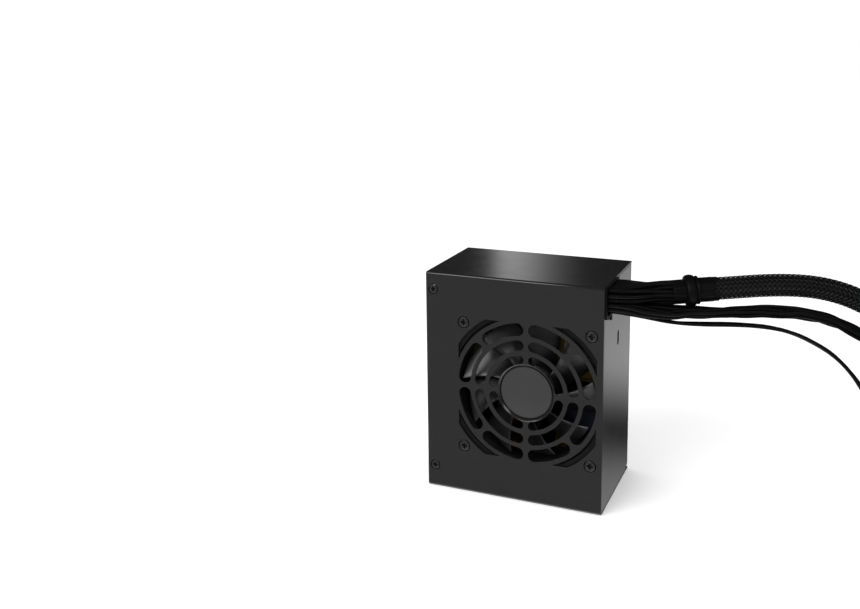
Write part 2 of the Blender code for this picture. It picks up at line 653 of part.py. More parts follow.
def board():
    low_x, high_x, low_z, high_z = BOARD
    made = block("main_board", (low_x, BOARD_FACE, low_z), (high_x, BOARD_BACK, high_z), board_green())
    sheet = block("insulating_sheet", (low_x, 29.2, low_z), (high_x, 29.6, high_z), insulator())
    for target, radius, span in ((made, 1.8, (BOARD_FACE, 4)), (sheet, 3.6, (28.5, 3))):
        bm = bmesh.new()
        for x, z in BOARD_SCREWS:
            add_turned(bm, [(0, -1), (radius, -1), (radius, span[1]), (0, span[1])], (x, span[0], z),
                       (0, 1, 0), 12)
        combine(target, bm, "DIFFERENCE", "holes")
    for k, (x, z) in enumerate(BOARD_SCREWS):
        turned(f"board_screw_{k + 1}", [(0, 0), (2.0, 0), (2.8, 0.8), (2.8, 2.0), (1.4, 2.0), (1.4, 6.6),
                                        (0, 6.6)], (x, ON_BOARD - 2.0, z), (0, 1, 0), bright_steel(), 16)


def can(name, x, z, radius, tall):
    """A round capacitor standing on the board."""
    turned(name, [(0, 0), (radius - 0.6, 0), (radius, 0.6), (radius, tall), (0, tall)],
           (x, ON_BOARD - tall, z), (0, 1, 0), capacitor_sleeve(), 28)


def on_board(name, x, z, size, tall, finish, edge=0.5):
    return block(name, (x - size[0] / 2, ON_BOARD - tall, z - size[1] / 2),
                 (x + size[0] / 2, ON_BOARD, z + size[1] / 2), finish, edge)


def wound_core(name, x, z, size, tall, finish):
    """A ferrite frame with the winding standing out on two sides."""
    made = on_board(name, x, z, size, tall, finish, 0)
    bm = bmesh.new()
    add_box(bm, (x - size[0] * 0.36, ON_BOARD - tall + 3, z - size[1] / 2 - 3),
            (x + size[0] * 0.36, ON_BOARD - 3, z + size[1] / 2 + 3))
    combine(made, bm, "UNION", "winding")
    soften(made, 0.4)


def heatsink(name, low, high, fins, finish):
    """A plate across X with fins along its length in Z, or the other way round."""
    bm = bmesh.new()
    (x0, z0), (x1, z1) = low, high
    along_z = (z1 - z0) > (x1 - x0)
    length = (z1 - z0) if along_z else (x1 - x0)
    thick = (x1 - x0) if along_z else (z1 - z0)
    pitch = length / fins
    outline = [(0, 0), (length, 0)]
    for k in reversed(range(fins)):
        start = k * pitch
        outline += [(start + pitch * 0.72, thick), (start + pitch * 0.72, thick * 0.45),
                    (start + pitch * 0.28, thick * 0.45), (start + pitch * 0.28, thick)]
    outline = outline[:2] + [(length, thick * 0.45)] + outline[2:] + [(0, thick * 0.45)]
    spots = [(x0 + b, z0 + a) if along_z else (x0 + a, z0 + b) for a, b in outline]
    add_prism(bm, spots, "Y", ON_BOARD - 33, ON_BOARD)
    return put(name, bm, (x0, ON_BOARD, z0), finish)


def power_parts():
    on_board("film_capacitor", -9, 11, (26, 10), 18, film_yellow(), 0.8)
    turned("filter_choke", [(4.4, -5), (9, -5), (9.8, -4), (9.8, 4), (9, 5), (4.4, 5)],
           (-17, ON_BOARD - 10.2, 34), (1, 0, 0), copper(), 20)
    turned("fuse", [(0, -10), (2.6, -10), (2.6, 10), (0, 10)], (10.5, ON_BOARD - 3.4, 30), (0, 0, 1),
           bright_steel(), 16)
    on_board("bridge_rectifier", 3, 32, (4.4, 24), 21, dark_plastic(), 0.4)
    wound_core("pfc_choke", 27, 20, (23, 20), 26, winding_tape())
    can("bulk_capacitor", 30, 46.5, 12.5, 36)
    wound_core("main_transformer", 27, 79, (32, 28), 30, winding_tape())
    wound_core("standby_transformer", -24, 62, (16, 14), 18, winding_tape())
    heatsink("primary_heatsink", (-6.5, 48), (-2.5, 92), 8, aluminium())
    heatsink("secondary_heatsink", (-34, 96), (12, 100), 8, aluminium())
    for k, z in enumerate((56, 74)):
        block(f"power_transistor_{k + 1}", (-11.4, 3, z - 5), (-6.8, 19, z + 5), dark_plastic(), 0.3)
    turned("output_choke", [(4.2, 0), (10, 0), (10.6, 1), (10.6, 11), (10, 12), (4.2, 12)],
           (-24, ON_BOARD - 12, 111), (0, 1, 0), copper(), 20)
    can("output_capacitor", 2, 110, 5, 20)


def wires_inside():
    low_y, high_y, low_z, high_z = LOOM
    outline = [(LOOM_END, low_y), (LOOM_END, high_y), (44, high_y), (40.5, high_y + 3), (40.5, ON_BOARD),
               (22, ON_BOARD), (22, -14), (26, -22), (33, low_y)]
    bm = bmesh.new()
    add_prism(bm, outline, "Z", low_z, high_z)
    loom = put("wire_loom", bm, (LOOM_END, (low_y + high_y) / 2, (low_z + high_z) / 2), wire_cover())
    soften(loom, 1.5, 2)
    block("fan_header", (-45, 18, 84), (-39, ON_BOARD, 90), insulator(), 0.3)
    route = [(-16, -14.2, 66), (-24, -13.8, 70), (-32, -12.6, 75), (-38, -9, 80), (-41, -2, 84),
             (-42, 6, 86.4), (-42, 17.4, 87)]
    tube("fan_lead", smooth_route(route), 1.8, 6)


# Cables

def smooth_route(points, spacing=6.0, length=None):
    """Points on the natural cubic spline through the route, spacing apart, cut off at length."""
    p = np.array(points, float)
    t = np.concatenate([[0], np.cumsum(np.linalg.norm(np.diff(p, axis=0), axis=1))])
    h = np.diff(t)
    n = len(p)
    m = np.zeros((n, n))
    r = np.zeros((n, 3))
    m[0, 0] = m[-1, -1] = 1
    for i in range(1, n - 1):
        m[i, i - 1:i + 2] = h[i - 1], 2 * (h[i - 1] + h[i]), h[i]
        r[i] = 6 * ((p[i + 1] - p[i]) / h[i] - (p[i] - p[i - 1]) / h[i - 1])
    c = np.linalg.solve(m, r)
    fine = np.linspace(0, t[-1], 2000)
    k = np.clip(np.searchsorted(t, fine) - 1, 0, n - 2)
    a, b, w = (t[k + 1] - fine)[:, None], (fine - t[k])[:, None], h[k][:, None]
    curve = (c[k] * a ** 3 + c[k + 1] * b ** 3) / (6 * w)
    curve += (p[k] / w - c[k] * w / 6) * a + (p[k + 1] / w - c[k + 1] * w / 6) * b
    run = np.concatenate([[0], np.cumsum(np.linalg.norm(np.diff(curve, axis=0), axis=1))])
    total = min(length or run[-1], run[-1])
    marks = np.linspace(0, total, max(3, round(total / spacing)) + 1)
    return np.stack([np.interp(marks, run, curve[:, i]) for i in range(3)], axis=1)


def tube(name, points, diameter, sides=8):
    """A round tube along the points, with closed ends."""
    line = bpy.data.curves.new(name, "CURVE")
    line.dimensions = "3D"
    line.bevel_depth = diameter / 2 * MM
    line.bevel_resolution = (sides - 4) // 2
    line.use_fill_caps = True
    spline = line.splines.new("POLY")
    spline.points.add(len(points) - 1)
    for spot, place in zip(spline.points, points):
        spot.co = (*(Vector(place) * MM), 1.0)
    line.materials.append(wire_cover())
    made = bpy.data.objects.new(name, line)
    bpy.context.scene.collection.objects.link(made)
    return made


def plug(name, end, way, columns):
    """A housing for two rows of contacts, with its latch on top, lying on the ground at a cable's end."""
    wide = columns * PIN_PITCH + 1.2
    bm = bmesh.new()
    add_box(bm, (0, -wide / 2, 0), (PLUG_LONG, wide / 2, PLUG_HIGH))
    made = put(name, bm, (0, 0, 0), dark_plastic())
    bm = bmesh.new()
    add_box(bm, (2, -2.4, PLUG_HIGH - 0.5), (PLUG_LONG + 1.5, 2.4, PLUG_HIGH + 1.6))
    combine(made, bm, "UNION", "latch", own_frame=True)
    soften(made, 0.3)
    stand(made, end, way)


def drive_plug(name, end, way):
    """The angled plug for a disk drive."""
    outline = [(0, 0), (0, 6.4), (8.5, 6.4), (14, 5.2), (14, 0)]
    bm = bmesh.new()
    add_prism(bm, outline, "Y", -11.6, 11.6)
    made = put(name, bm, (0, 0, 0), dark_plastic())
    soften(made, 0.3)
    stand(made, end, way)


def stand(piece, end, way):
    """Set a plug on the ground, its back a gap past the cable's end, facing along the cable."""
    level = Vector((way[0], way[1], 0)).normalized()
    spot = Vector((end[0], end[1], 0)) + level * 2 * GAP
    piece.location = (spot + Vector((0, 0, 0.1))) * MM
    piece.rotation_euler = (0, 0, math.atan2(level.y, level.x))


def cables():
    for name, (diameter, length, route) in CABLES.items():
        points = smooth_route(route, 2.4 * diameter if diameter < 8 else 1.0 * diameter, length)
        tube(f"{name}_cable", points, diameter, 8 if diameter < 8 else 10)
        way = points[-1] - points[-2]
        if name in PLUGS:
            plug(f"{name}_plug", points[-1], way, PLUGS[name])
        else:
            drive_plug(f"{name}_plug", points[-1], way)
    line = smooth_route(CABLES["atx"][2], 1.0)
    at, way = line[round(COLLAR_AT)], line[round(COLLAR_AT) + 2] - line[round(COLLAR_AT) - 2]
    inner, half = CABLES["atx"][0] / 2 + 0.4, COLLAR_LONG / 2
    turned("cable_collar", [(inner, -half), (COLLAR_RADIUS - 0.6, -half), (COLLAR_RADIUS, 0.6 - half),
                            (COLLAR_RADIUS, half - 0.6), (COLLAR_RADIUS - 0.6, half), (inner, half)],
           at, way, black_rubber(), 20)


def grommet():
    low_y, high_y, low_z, high_z = LOOM
    hole = rectangle(((low_y + high_y) / 2, (low_z + high_z) / 2),
                     (high_y - low_y + 2 * GAP, high_z - low_z + 2 * GAP), 1.4, 3)
    bm = bmesh.new()
    edge = (FRONT + 0.2, NOTCH[0] + 0.6, NOTCH[1] - 0.6, WIDTH - 0.2)
    add_box(bm, (SIDE + GAP, edge[0], edge[2]), (GROMMET_FACE, edge[1], edge[3]))
    made = put("cable_grommet", bm, (SIDE, (edge[0] + edge[1]) / 2, (edge[2] + edge[3]) / 2), black_rubber())
    bm = bmesh.new()
    add_box(bm, (SIDE - 2.5, TRAY_FRONT + GAP, NOTCH[1] + GAP),
            (SIDE + 1, NOTCH[0] - GAP, TRAY_HIGH - GAP))
    add_box(bm, (SIDE + GAP + 0.2, FRONT + 11, NOTCH[1] - 3.4), (GROMMET_FACE - 0.5, FRONT + 13, NOTCH[1]))
    combine(made, bm, "UNION", "sleeve")
    bm = bmesh.new()
    add_prism(bm, hole, "X", SIDE - 5, SIDE + 5)
    combine(made, bm, "DIFFERENCE", "passage")


for old in list(bpy.data.objects):
    bpy.data.objects.remove(old, do_unlink=True)
fan_cover()
base_tray()
case_screws()
fan_frame()
fan_rotor()
fan_motor()
inlet()
switch()
board()
power_parts()
wires_inside()
grommet()
cables()
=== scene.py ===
import json
import math

import bmesh
import bpy
import numpy as np
from mathutils import Matrix, Vector


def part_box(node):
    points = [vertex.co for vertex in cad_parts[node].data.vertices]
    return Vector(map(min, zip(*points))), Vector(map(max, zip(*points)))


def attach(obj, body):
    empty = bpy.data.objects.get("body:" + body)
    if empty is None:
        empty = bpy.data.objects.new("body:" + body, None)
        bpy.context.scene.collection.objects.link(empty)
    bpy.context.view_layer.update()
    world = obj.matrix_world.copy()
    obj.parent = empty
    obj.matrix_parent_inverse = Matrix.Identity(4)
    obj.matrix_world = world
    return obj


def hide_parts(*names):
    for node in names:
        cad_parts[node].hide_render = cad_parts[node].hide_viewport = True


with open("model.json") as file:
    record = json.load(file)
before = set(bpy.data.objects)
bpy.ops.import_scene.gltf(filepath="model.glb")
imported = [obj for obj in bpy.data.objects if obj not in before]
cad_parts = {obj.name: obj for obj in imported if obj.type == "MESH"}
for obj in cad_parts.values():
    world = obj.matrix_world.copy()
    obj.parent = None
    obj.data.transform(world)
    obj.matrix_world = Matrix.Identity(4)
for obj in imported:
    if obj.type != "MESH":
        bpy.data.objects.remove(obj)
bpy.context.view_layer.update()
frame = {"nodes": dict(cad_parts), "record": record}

# Looks of a small form factor power supply. Sizes are in millimetres, and show() makes them metres.

MM = 0.001
SEED = 7


def corners(node):
    """The lowest and highest corner of a CAD node, in millimetres."""
    return [[value / MM for value in corner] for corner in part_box(node)]


(WEST, FRONT, _), (EAST, BACK, HIGH_EDGE) = corners("fan_cover")
(_, _, TRAY_LOW), (_, _, TRAY_HIGH) = corners("base_tray")


# Materials

class Nodes:
    """A tree of shader nodes under construction."""

    def add(self, kind, **values):
        """A node with these inputs and properties. An input may be another node's output."""
        node = self.tree.nodes.new(kind)
        for name, value in values.items():
            if name in node.inputs:
                self.give(node.inputs[name], value)
            else:
                setattr(node, name, value)
        return node

    def give(self, socket, value):
        if isinstance(value, bpy.types.NodeSocket):
            self.tree.links.new(value, socket)
        else:
            socket.default_value = value


class Finish(Nodes):
    """A material: a Principled shader and what varies its colour, roughness and normal."""

    def __init__(self, name, colour, roughness, metallic=0.0):
        self.material = bpy.data.materials.new(name)
        self.material.use_nodes = True
        self.tree = self.material.node_tree
        self.inputs = self.tree.nodes["Principled BSDF"].inputs
        self.colour, self.roughness = colour, roughness
        self.inputs["Base Color"].default_value = (*colour, 1)
        self.inputs["Roughness"].default_value = roughness
        self.inputs["Metallic"].default_value = metallic
        self.place = self.add("ShaderNodeTexCoord").outputs["Object"]

    def scaled(self, scale):
        """The object's own coordinates times the scale."""
        return self.add("ShaderNodeMapping", Vector=self.place, Scale=scale).outputs["Vector"]

    def noise(self, size, detail=3.0, stretch=(1, 1, 1)):
        """Noise whose blotches are about size millimetres across, drawn out along the axes."""
        place = self.scaled([1 / (size * MM * s) for s in stretch])
        return self.add("ShaderNodeTexNoise", Vector=place, Scale=1.0, Detail=detail).outputs["Fac"]

    def between(self, factor, low, high):
        """A number that goes from low to high as noise goes through its middle part."""
        ends = {"From Min": 0.3, "From Max": 0.7, "To Min": low, "To Max": high}
        return self.add("ShaderNodeMapRange", Value=factor, **ends).outputs["Result"]

    def paint(self, factor, one, other):
        """Mix two colours by the factor."""
        mix = self.add("ShaderNodeMix", data_type="RGBA", A=(*one, 1), B=(*other, 1), Factor=factor)
        self.give(self.inputs["Base Color"], mix.outputs["Result"])
        return self

    def dull(self, level):
        """Reflect less than usual, for soft plastics."""
        self.inputs["Specular IOR Level"].default_value = level
        return self

    def vary(self, spread, size):
        """Let the colour go lighter and darker by this share, in blotches."""
        factor = self.between(self.noise(size), 0, 1)
        return self.paint(factor, [c * (1 - spread) for c in self.colour],
                          [min(1, c * (1 + spread)) for c in self.colour])

    def gloss(self, spread, size, stretch=(1, 1, 1)):
        """Let the roughness vary by this much either way."""
        factor = self.noise(size, 3.0, stretch)
        rough = self.between(factor, self.roughness - spread, self.roughness + spread)
        self.give(self.inputs["Roughness"], rough)
        return self

    def relief(self, height, factor):
        """Raise the surface by the factor times height millimetres, on top of what is there."""
        bump = self.add("ShaderNodeBump", Strength=1.0, Distance=height * MM, Height=factor)
        before = self.inputs["Normal"].links
        if before:
            self.give(bump.inputs["Normal"], before[0].from_socket)
        self.give(self.inputs["Normal"], bump.outputs["Normal"])
        return self

    def grain(self, height, size, detail=2.0, stretch=(1, 1, 1)):
        return self.relief(height, self.noise(size, detail, stretch))

    def bands(self, period, axis, height, distortion=0.0):
        """Even ridges across an axis, such as wound wire or turned metal."""
        place = self.scaled([math.tau / 20 / (period * MM)] * 3)
        wave = self.add("ShaderNodeTexWave", wave_type="BANDS", bands_direction=axis, Vector=place,
                        Scale=1.0, Distortion=distortion, Detail=1.0)
        return self.relief(height, wave.outputs["Fac"])


def grey(value, warmth=0.0):
    return (value * (1 + warmth), value, value * (1 - warmth))


def make_finishes():
    """Every finish, by the name of its slot in the record."""
    made = {
        "painted_steel": Finish("satin_black_paint", grey(0.0076, 0.02), 0.16).vary(0.06, 30)
        .gloss(0.015, 8).grain(0.002, 0.9, 3).grain(0.0007, 0.22),
        "badge": Finish("satin_dark_grey", grey(0.0195), 0.42).vary(0.04, 12).gloss(0.03, 5)
        .grain(0.002, 0.3),
        "black_screw": Finish("black_zinc", grey(0.012, 0.02), 0.33, 0.2).vary(0.25, 1.5)
        .gloss(0.08, 1.2).grain(0.004, 0.4),
        "black_plastic": Finish("fan_plastic", grey(0.0045), 0.34).vary(0.1, 9).gloss(0.05, 4)
        .grain(0.004, 0.35),
        # The frame's plastic is a darker, duller copy of the fan plastic: painted shade for the frame face
        # that sits in shade behind the grille's crescents.
        "shade_darkened_frame_plastic": Finish("shade_darkened_frame_plastic", grey(0.0022), 0.42).dull(0.15).vary(0.1, 9)
        .gloss(0.05, 4).grain(0.004, 0.35),
        "rocker_plastic": Finish("rocker_gloss", grey(0.012), 0.24).vary(0.1, 5).grain(0.002, 0.4),
        "white_mark": Finish("white_mark", grey(0.55), 0.5).vary(0.05, 2).grain(0.002, 0.3),
        "black_rubber": Finish("black_rubber", grey(0.0014), 0.5).dull(0.08).vary(0.15, 3)
        .grain(0.012, 0.3),
        "contact_metal": Finish("nickel", (0.66, 0.64, 0.6), 0.26, 1.0).vary(0.1, 2)
        .gloss(0.08, 1.5, (6, 1, 1)).grain(0.002, 0.3, 2, (8, 1, 1)),
        "shaft_steel": Finish("ground_steel", (0.56, 0.56, 0.57), 0.24, 1.0).gloss(0.05, 1)
        .bands(0.3, "Y", 0.002),
        "bronze": Finish("sintered_bronze", (0.45, 0.29, 0.13), 0.42, 0.9).vary(0.2, 0.6).grain(0.01, 0.25),
        "ferrite": Finish("ferrite", grey(0.035), 0.6).vary(0.2, 1.2).grain(0.02, 0.4),
        "copper": Finish("enamelled_copper", (0.36, 0.125, 0.045), 0.28, 0.85).vary(0.15, 4)
        .bands(1.1, "DIAGONAL", 0.25, 0.4),
        "board": board_finish(),
        "insulator": Finish("insulating_sheet", grey(0.03), 0.42).vary(0.05, 10).grain(0.004, 0.8),
        "capacitor_sleeve": Finish("shrunk_sleeve", (0.012, 0.013, 0.022), 0.3).vary(0.15, 4)
        .grain(0.01, 1.6),
        # Both yellows are far darker than such yellow parts are: painted shade for the inside of the case,
        # seen through the grille.
        "film_yellow": Finish("yellow_case", (0.07, 0.045, 0.012), 0.4).vary(0.08, 6).grain(0.006, 0.5),
        "winding_tape": Finish("yellow_tape", (0.07, 0.048, 0.012), 0.3).vary(0.12, 5)
        .bands(4.0, "Y", 0.06),
        "aluminium": Finish("extruded_aluminium", (0.58, 0.58, 0.6), 0.34, 1.0)
        .gloss(0.08, 0.6, (1, 12, 1)).grain(0.006, 0.35, 2, (1, 14, 1)),
        "wire_cover": Finish("wire_insulation", grey(0.0013), 0.42).dull(0.09).vary(0.2, 14)
        .gloss(0.06, 9).grain(0.004, 0.5),
        "sleeve": Finish("braid", grey(0.003), 0.34).dull(0.22).vary(0.3, 1.2)
        .gloss(0.08, 0.8).grain(0.01, 0.16),
        "plug_plastic": Finish("plug_plastic", grey(0.013), 0.4).vary(0.12, 5).gloss(0.05, 3)
        .grain(0.006, 0.3),
    }
    return {slot: finish.material for slot, finish in made.items()}


def board_finish():
    """Green mask over copper tracks."""
    made = Finish("solder_mask", (0.004, 0.02, 0.008), 0.3)
    tracks = made.add("ShaderNodeTexBrick", Vector=made.place, Scale=150.0, offset=0.37, squash=0.6)
    tracks.inputs["Mortar Size"].default_value = 0.09
    factor = tracks.outputs["Fac"]
    return made.paint(factor, (0.003, 0.016, 0.006), (0.008, 0.035, 0.014)).relief(0.03, factor)


# Making shapes

def link(name, data):
    made = bpy.data.objects.new(name, data)
    bpy.context.scene.collection.objects.link(made)
    return made


def show(name, finish, shapes, smooth=30.0):
    """A piece made of shapes, in metres. A shape is a function and what it takes after the mesh."""
    bm = bmesh.new()
    for add, *values in shapes:
        add(bm, *values)
    bmesh.ops.recalc_face_normals(bm, faces=bm.faces)
    bm.transform(Matrix.Scale(MM, 4))
    mesh = bpy.data.meshes.new(name)
    bm.to_mesh(mesh)
    bm.free()
    mesh.shade_smooth()
    mesh.set_sharp_from_angle(angle=math.radians(smooth))
    if finish:
        mesh.materials.append(FINISHES[finish])
    return link(name, mesh)


def belongs(made, slot, *nodes, body="case"):
    """The piece rides on the body and stands for the CAD nodes, which are hidden. The slot is not used."""
    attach(made, body)
    if nodes:
        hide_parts(*nodes)
    return made


def rings(bm, loops, close=False):
    """Join rings of points into a skin, with flat ends or closed on itself."""
    made = [[bm.verts.new(p) for p in loop] for loop in loops]
    after = made[1:] + made[:1] if close else made[1:]
    for a, b in zip(made, after):
        for i in range(len(a)):
            j = (i + 1) % len(a)
            bm.faces.new((a[i], a[j], b[j], b[i]))
    if not close:
        bm.faces.new(made[0][::-1])
        bm.faces.new(made[-1])


# Cables

TURN_SPAN = (0.35, 0.97)  # the wires turn level between these shares of a cable's length


def unit(vector):
    return vector / np.linalg.norm(vector)


class Path:
    """A line with a frame at each point: ahead along it, side across it, up out of it."""

    def __init__(self, points, start_side, turn=0.0):
        self.points = np.array(points, float)
        step = np.gradient(self.points, axis=0)
        self.ahead = step / np.linalg.norm(step, axis=1)[:, None]
        gaps = np.linalg.norm(np.diff(self.points, axis=0), axis=1)
        self.run = np.concatenate([[0], np.cumsum(gaps)])
        self.length = self.run[-1]
        side = np.array(start_side, float)
        sides = []
        for way in self.ahead:
            side = unit(side - way * (side @ way))
            sides.append(side)
        self.side = np.array(sides)
        self.up = np.cross(self.ahead, self.side)
        start, end = TURN_SPAN
        share = np.clip((self.run / self.length - start) / (end - start), 0, 1)
        angle = (turn * share * share * (3 - 2 * share))[:, None]
        side = self.side * np.cos(angle) + self.up * np.sin(angle)
        self.side, self.up = side, np.cross(self.ahead, side)

    def lean(self):
        """How far the side direction at the end is from level, seen along the line."""
        level = unit(np.cross((0, 0, 1), self.ahead[-1]))
        return math.atan2(level @ self.up[-1], level @ self.side[-1])

    def at(self, run):
        """Point, side and up at these distances along the line."""
        return [np.stack([np.interp(run, self.run, grid[:, k]) for k in range(3)], axis=-1)
                for grid in (self.points, self.side, self.up)]


def smooth_route(points, spacing, length=None):
    """Points on the natural cubic spline through the route, spacing apart, cut off at length."""
    p = np.array(points, float)
    t = np.concatenate([[0], np.cumsum(np.linalg.norm(np.diff(p, axis=0), axis=1))])
    h = np.diff(t)
    n = len(p)
    m = np.zeros((n, n))
    r = np.zeros((n, 3))
    m[0, 0] = m[-1, -1] = 1
    for i in range(1, n - 1):
        m[i, i - 1:i + 2] = h[i - 1], 2 * (h[i - 1] + h[i]), h[i]
        r[i] = 6 * ((p[i + 1] - p[i]) / h[i] - (p[i] - p[i - 1]) / h[i - 1])
    c = np.linalg.solve(m, r)
    fine = np.linspace(0, t[-1], 2000)
    k = np.clip(np.searchsorted(t, fine) - 1, 0, n - 2)
    a, b, w = (t[k + 1] - fine)[:, None], (fine - t[k])[:, None], h[k][:, None]
    curve = (c[k] * a ** 3 + c[k + 1] * b ** 3) / (6 * w)
    curve += (p[k] / w - c[k] * w / 6) * a + (p[k + 1] / w - c[k + 1] * w / 6) * b
    run = np.concatenate([[0], np.cumsum(np.linalg.norm(np.diff(curve, axis=0), axis=1))])
    total = min(length or run[-1], run[-1])
    marks = np.linspace(0, total, max(3, round(total / spacing)) + 1)
    return np.stack([np.interp(marks, run, curve[:, i]) for i in range(3)], axis=1)


def tube(bm, line, radius, sides):
    """A round tube along the line, with closed ends."""
    path = Path(line, (0.1, 1, 0.2))
    rings(bm, around(path, path.run, [radius] * len(path.run), sides))


# Cables: diameter, length and route from the wall to the plug, as the CAD has them.
ROUTES = {
    "atx": (12.0, 300.0, [
        (55, -15, 117.6), (60, -14.9, 117.7), (68, -13.4, 118.2), (79, -9.4, 119.9), (93, -3.8, 121.4),
        (107, 2.6, 122.2), (121, 9.2, 122.9), (136, 16, 122.9), (151, 22, 121.2), (165.5, 26.8, 116.8),
        (179, 30.2, 109.6), (191, 32.4, 99.4), (201, 33.6, 86.6), (209, 34, 72.2), (216.5, 33.6, 57.4),
        (224.8, 32, 43), (234.8, 28.4, 29.8), (246.6, 22, 18.8), (258.2, 12.4, 10.8), (265.4, 0, 7),
        (268, -14, 6.2), (268.4, -28, 6.2),
    ]),
    "cpu": (6.6, 350.0, [
        (55, -25.2, 113), (60, -25, 112.8), (68, -22.6, 111.8), (79, -16.6, 110.6), (93, -8.4, 110),
        (107, -0.6, 109.9), (121, 6.6, 109.9), (136, 13.4, 109.2), (151, 19, 106.4), (165, 23.4, 101),
        (177.5, 26.6, 92.8), (188, 28.8, 82), (196.5, 30, 69.2), (203.5, 30.4, 55.6), (210, 29.4, 41.8),
        (216.5, 26.2, 28.6), (222.8, 19.4, 17), (228, 9.4, 8.4), (230.8, -3, 4.2), (231.6, -17, 3.6),
        (232.6, -31, 3.6), (237, -44, 3.6), (247, -53, 3.6), (260, -56.6, 3.6), (273.4, -54.8, 3.6),
        (286, -50, 3.6),
    ]),
    "pcie": (6.6, 350.0, [
        (55, -5.4, 112.1), (60, -5.3, 111.7), (68, -4.2, 110), (79, -1.6, 108.3), (93, 2.8, 107.2),
        (107, 8.8, 106.9), (121, 15.8, 106.9), (136, 23.4, 106.2), (151, 30, 103.4), (165, 35.4, 98),
        (178, 39.6, 90), (189.5, 43, 79.4), (199.5, 46, 66.8), (208.5, 48.8, 53.2), (217.5, 52, 39.8),
        (228, 55.6, 27.6), (240.6, 59, 17), (254.6, 61.4, 9.4), (269, 61, 4.8), (282.4, 56.6, 3.6),
        (293, 47.8, 3.6), (300.4, 35.6, 3.6), (304, 22, 3.6), (305.4, 8, 3.6), (305.8, -6, 3.6),
    ]),
    "drive": (5.4, 350.0, [
        (55, -19, 107.4), (60, -18.7, 107.1), (68, -16.4, 106), (79, -11.6, 104.6), (93, -5.8, 103.6),
        (107, -0.8, 103.4), (121, 3.2, 103), (135, 7, 100.8), (148.5, 10.4, 95.4), (160.5, 13, 87.2),
        (170.5, 14.6, 76), (178.5, 15.4, 63.2), (185.6, 15.4, 49.6), (192.4, 14, 36.2), (199.4, 10.6, 23.6),
        (206, 4.4, 13), (210.6, -5, 5.8), (212.6, -17, 3.1), (211.4, -29.4, 3), (204.6, -39.4, 3),
        (195, -41, 3), (188.8, -33, 3), (187.6, -20, 3), (188.4, -6, 3), (189.6, 8, 3), (190.8, 22, 3),
        (192, 36, 3), (193, 48, 3),
    ]),
}

WIRE = {"atx": 2.3, "cpu": 2.2, "pcie": 2.2, "drive": 1.95}  # over its insulation
ROW = 2.55  # from one row of wires to the next in the outlet
OUTLET = (EAST + 3.2, -17.5, 116.4)  # middle of the wires where they leave the grommet
JOINS_ROUTE = 26.0  # from here on a cable follows its CAD route
STRAIGHT = 10.0  # the wires' level stretch through the grommet
FROM_BOARD = [(31, 24), (31, 12), (31.6, -2), (36, -13)]  # the wires' way from the board, seen from above
CAD_STEP, WIRE_STEP = 10.0, 1.5  # from point to point

# Columns and rows of wires in each cable, their pitch and the cable's middle in the outlet, across and up.
LAYOUT = {
    "atx": (8, 3, 2.85, 0.0, 1.5 * ROW),
    "cpu": (4, 2, 2.75, -5.7, -ROW),
    "pcie": (4, 2, 2.75, 5.7, -ROW),
    "drive": (5, 1, 2.15, 0.0, -2.5 * ROW),
}
RIBBON_ROLL = -15.0  # degrees, how the flat drive cable lies in its upper part
ROLLS = (5, 30, 110, 150), (0, 1, 1, 0)  # distances from the outlet, and the share of the roll at each
PIN_PITCH, DRIVE_PITCH = 4.2, 3.8
PLUG_GRID = {"atx": (12, 2), "cpu": (4, 2), "pcie": (4, 2), "drive": (5, 1)}  # columns and rows of contacts


def block_of(columns, rows, across, apart=ROW, stagger=0.25):
    """Places of wires in even rows, every second row half a wire along."""
    stagger = stagger if rows > 1 else 0
    return np.array([((c - (columns - 1) / 2 + stagger * (-1) ** r) * across, (r - (rows - 1) / 2) * apart)
                     for c in range(columns) for r in range(rows)])


def round_of(count, start, wire):
    """The places nearest the middle of a honeycomb, each given to the wire that starts nearest."""
    lattice = [((i + 0.5 * (j % 2)) * wire, j * wire * math.sqrt(3) / 2)
               for i in range(-5, 6) for j in range(-5, 6)]
    middle = np.array((0.3, 0.5))
    spots = sorted(lattice, key=lambda p: math.hypot(p[0] - middle[0], p[1] - middle[1]))[:count]
    spots = np.array(spots) - np.mean(spots, axis=0)
    order = np.lexsort((spots[:, 1], np.round(spots[:, 0] / 2)))
    given = np.empty_like(spots)
    given[np.lexsort((start[:, 1], start[:, 0]))] = spots[order]
    return given


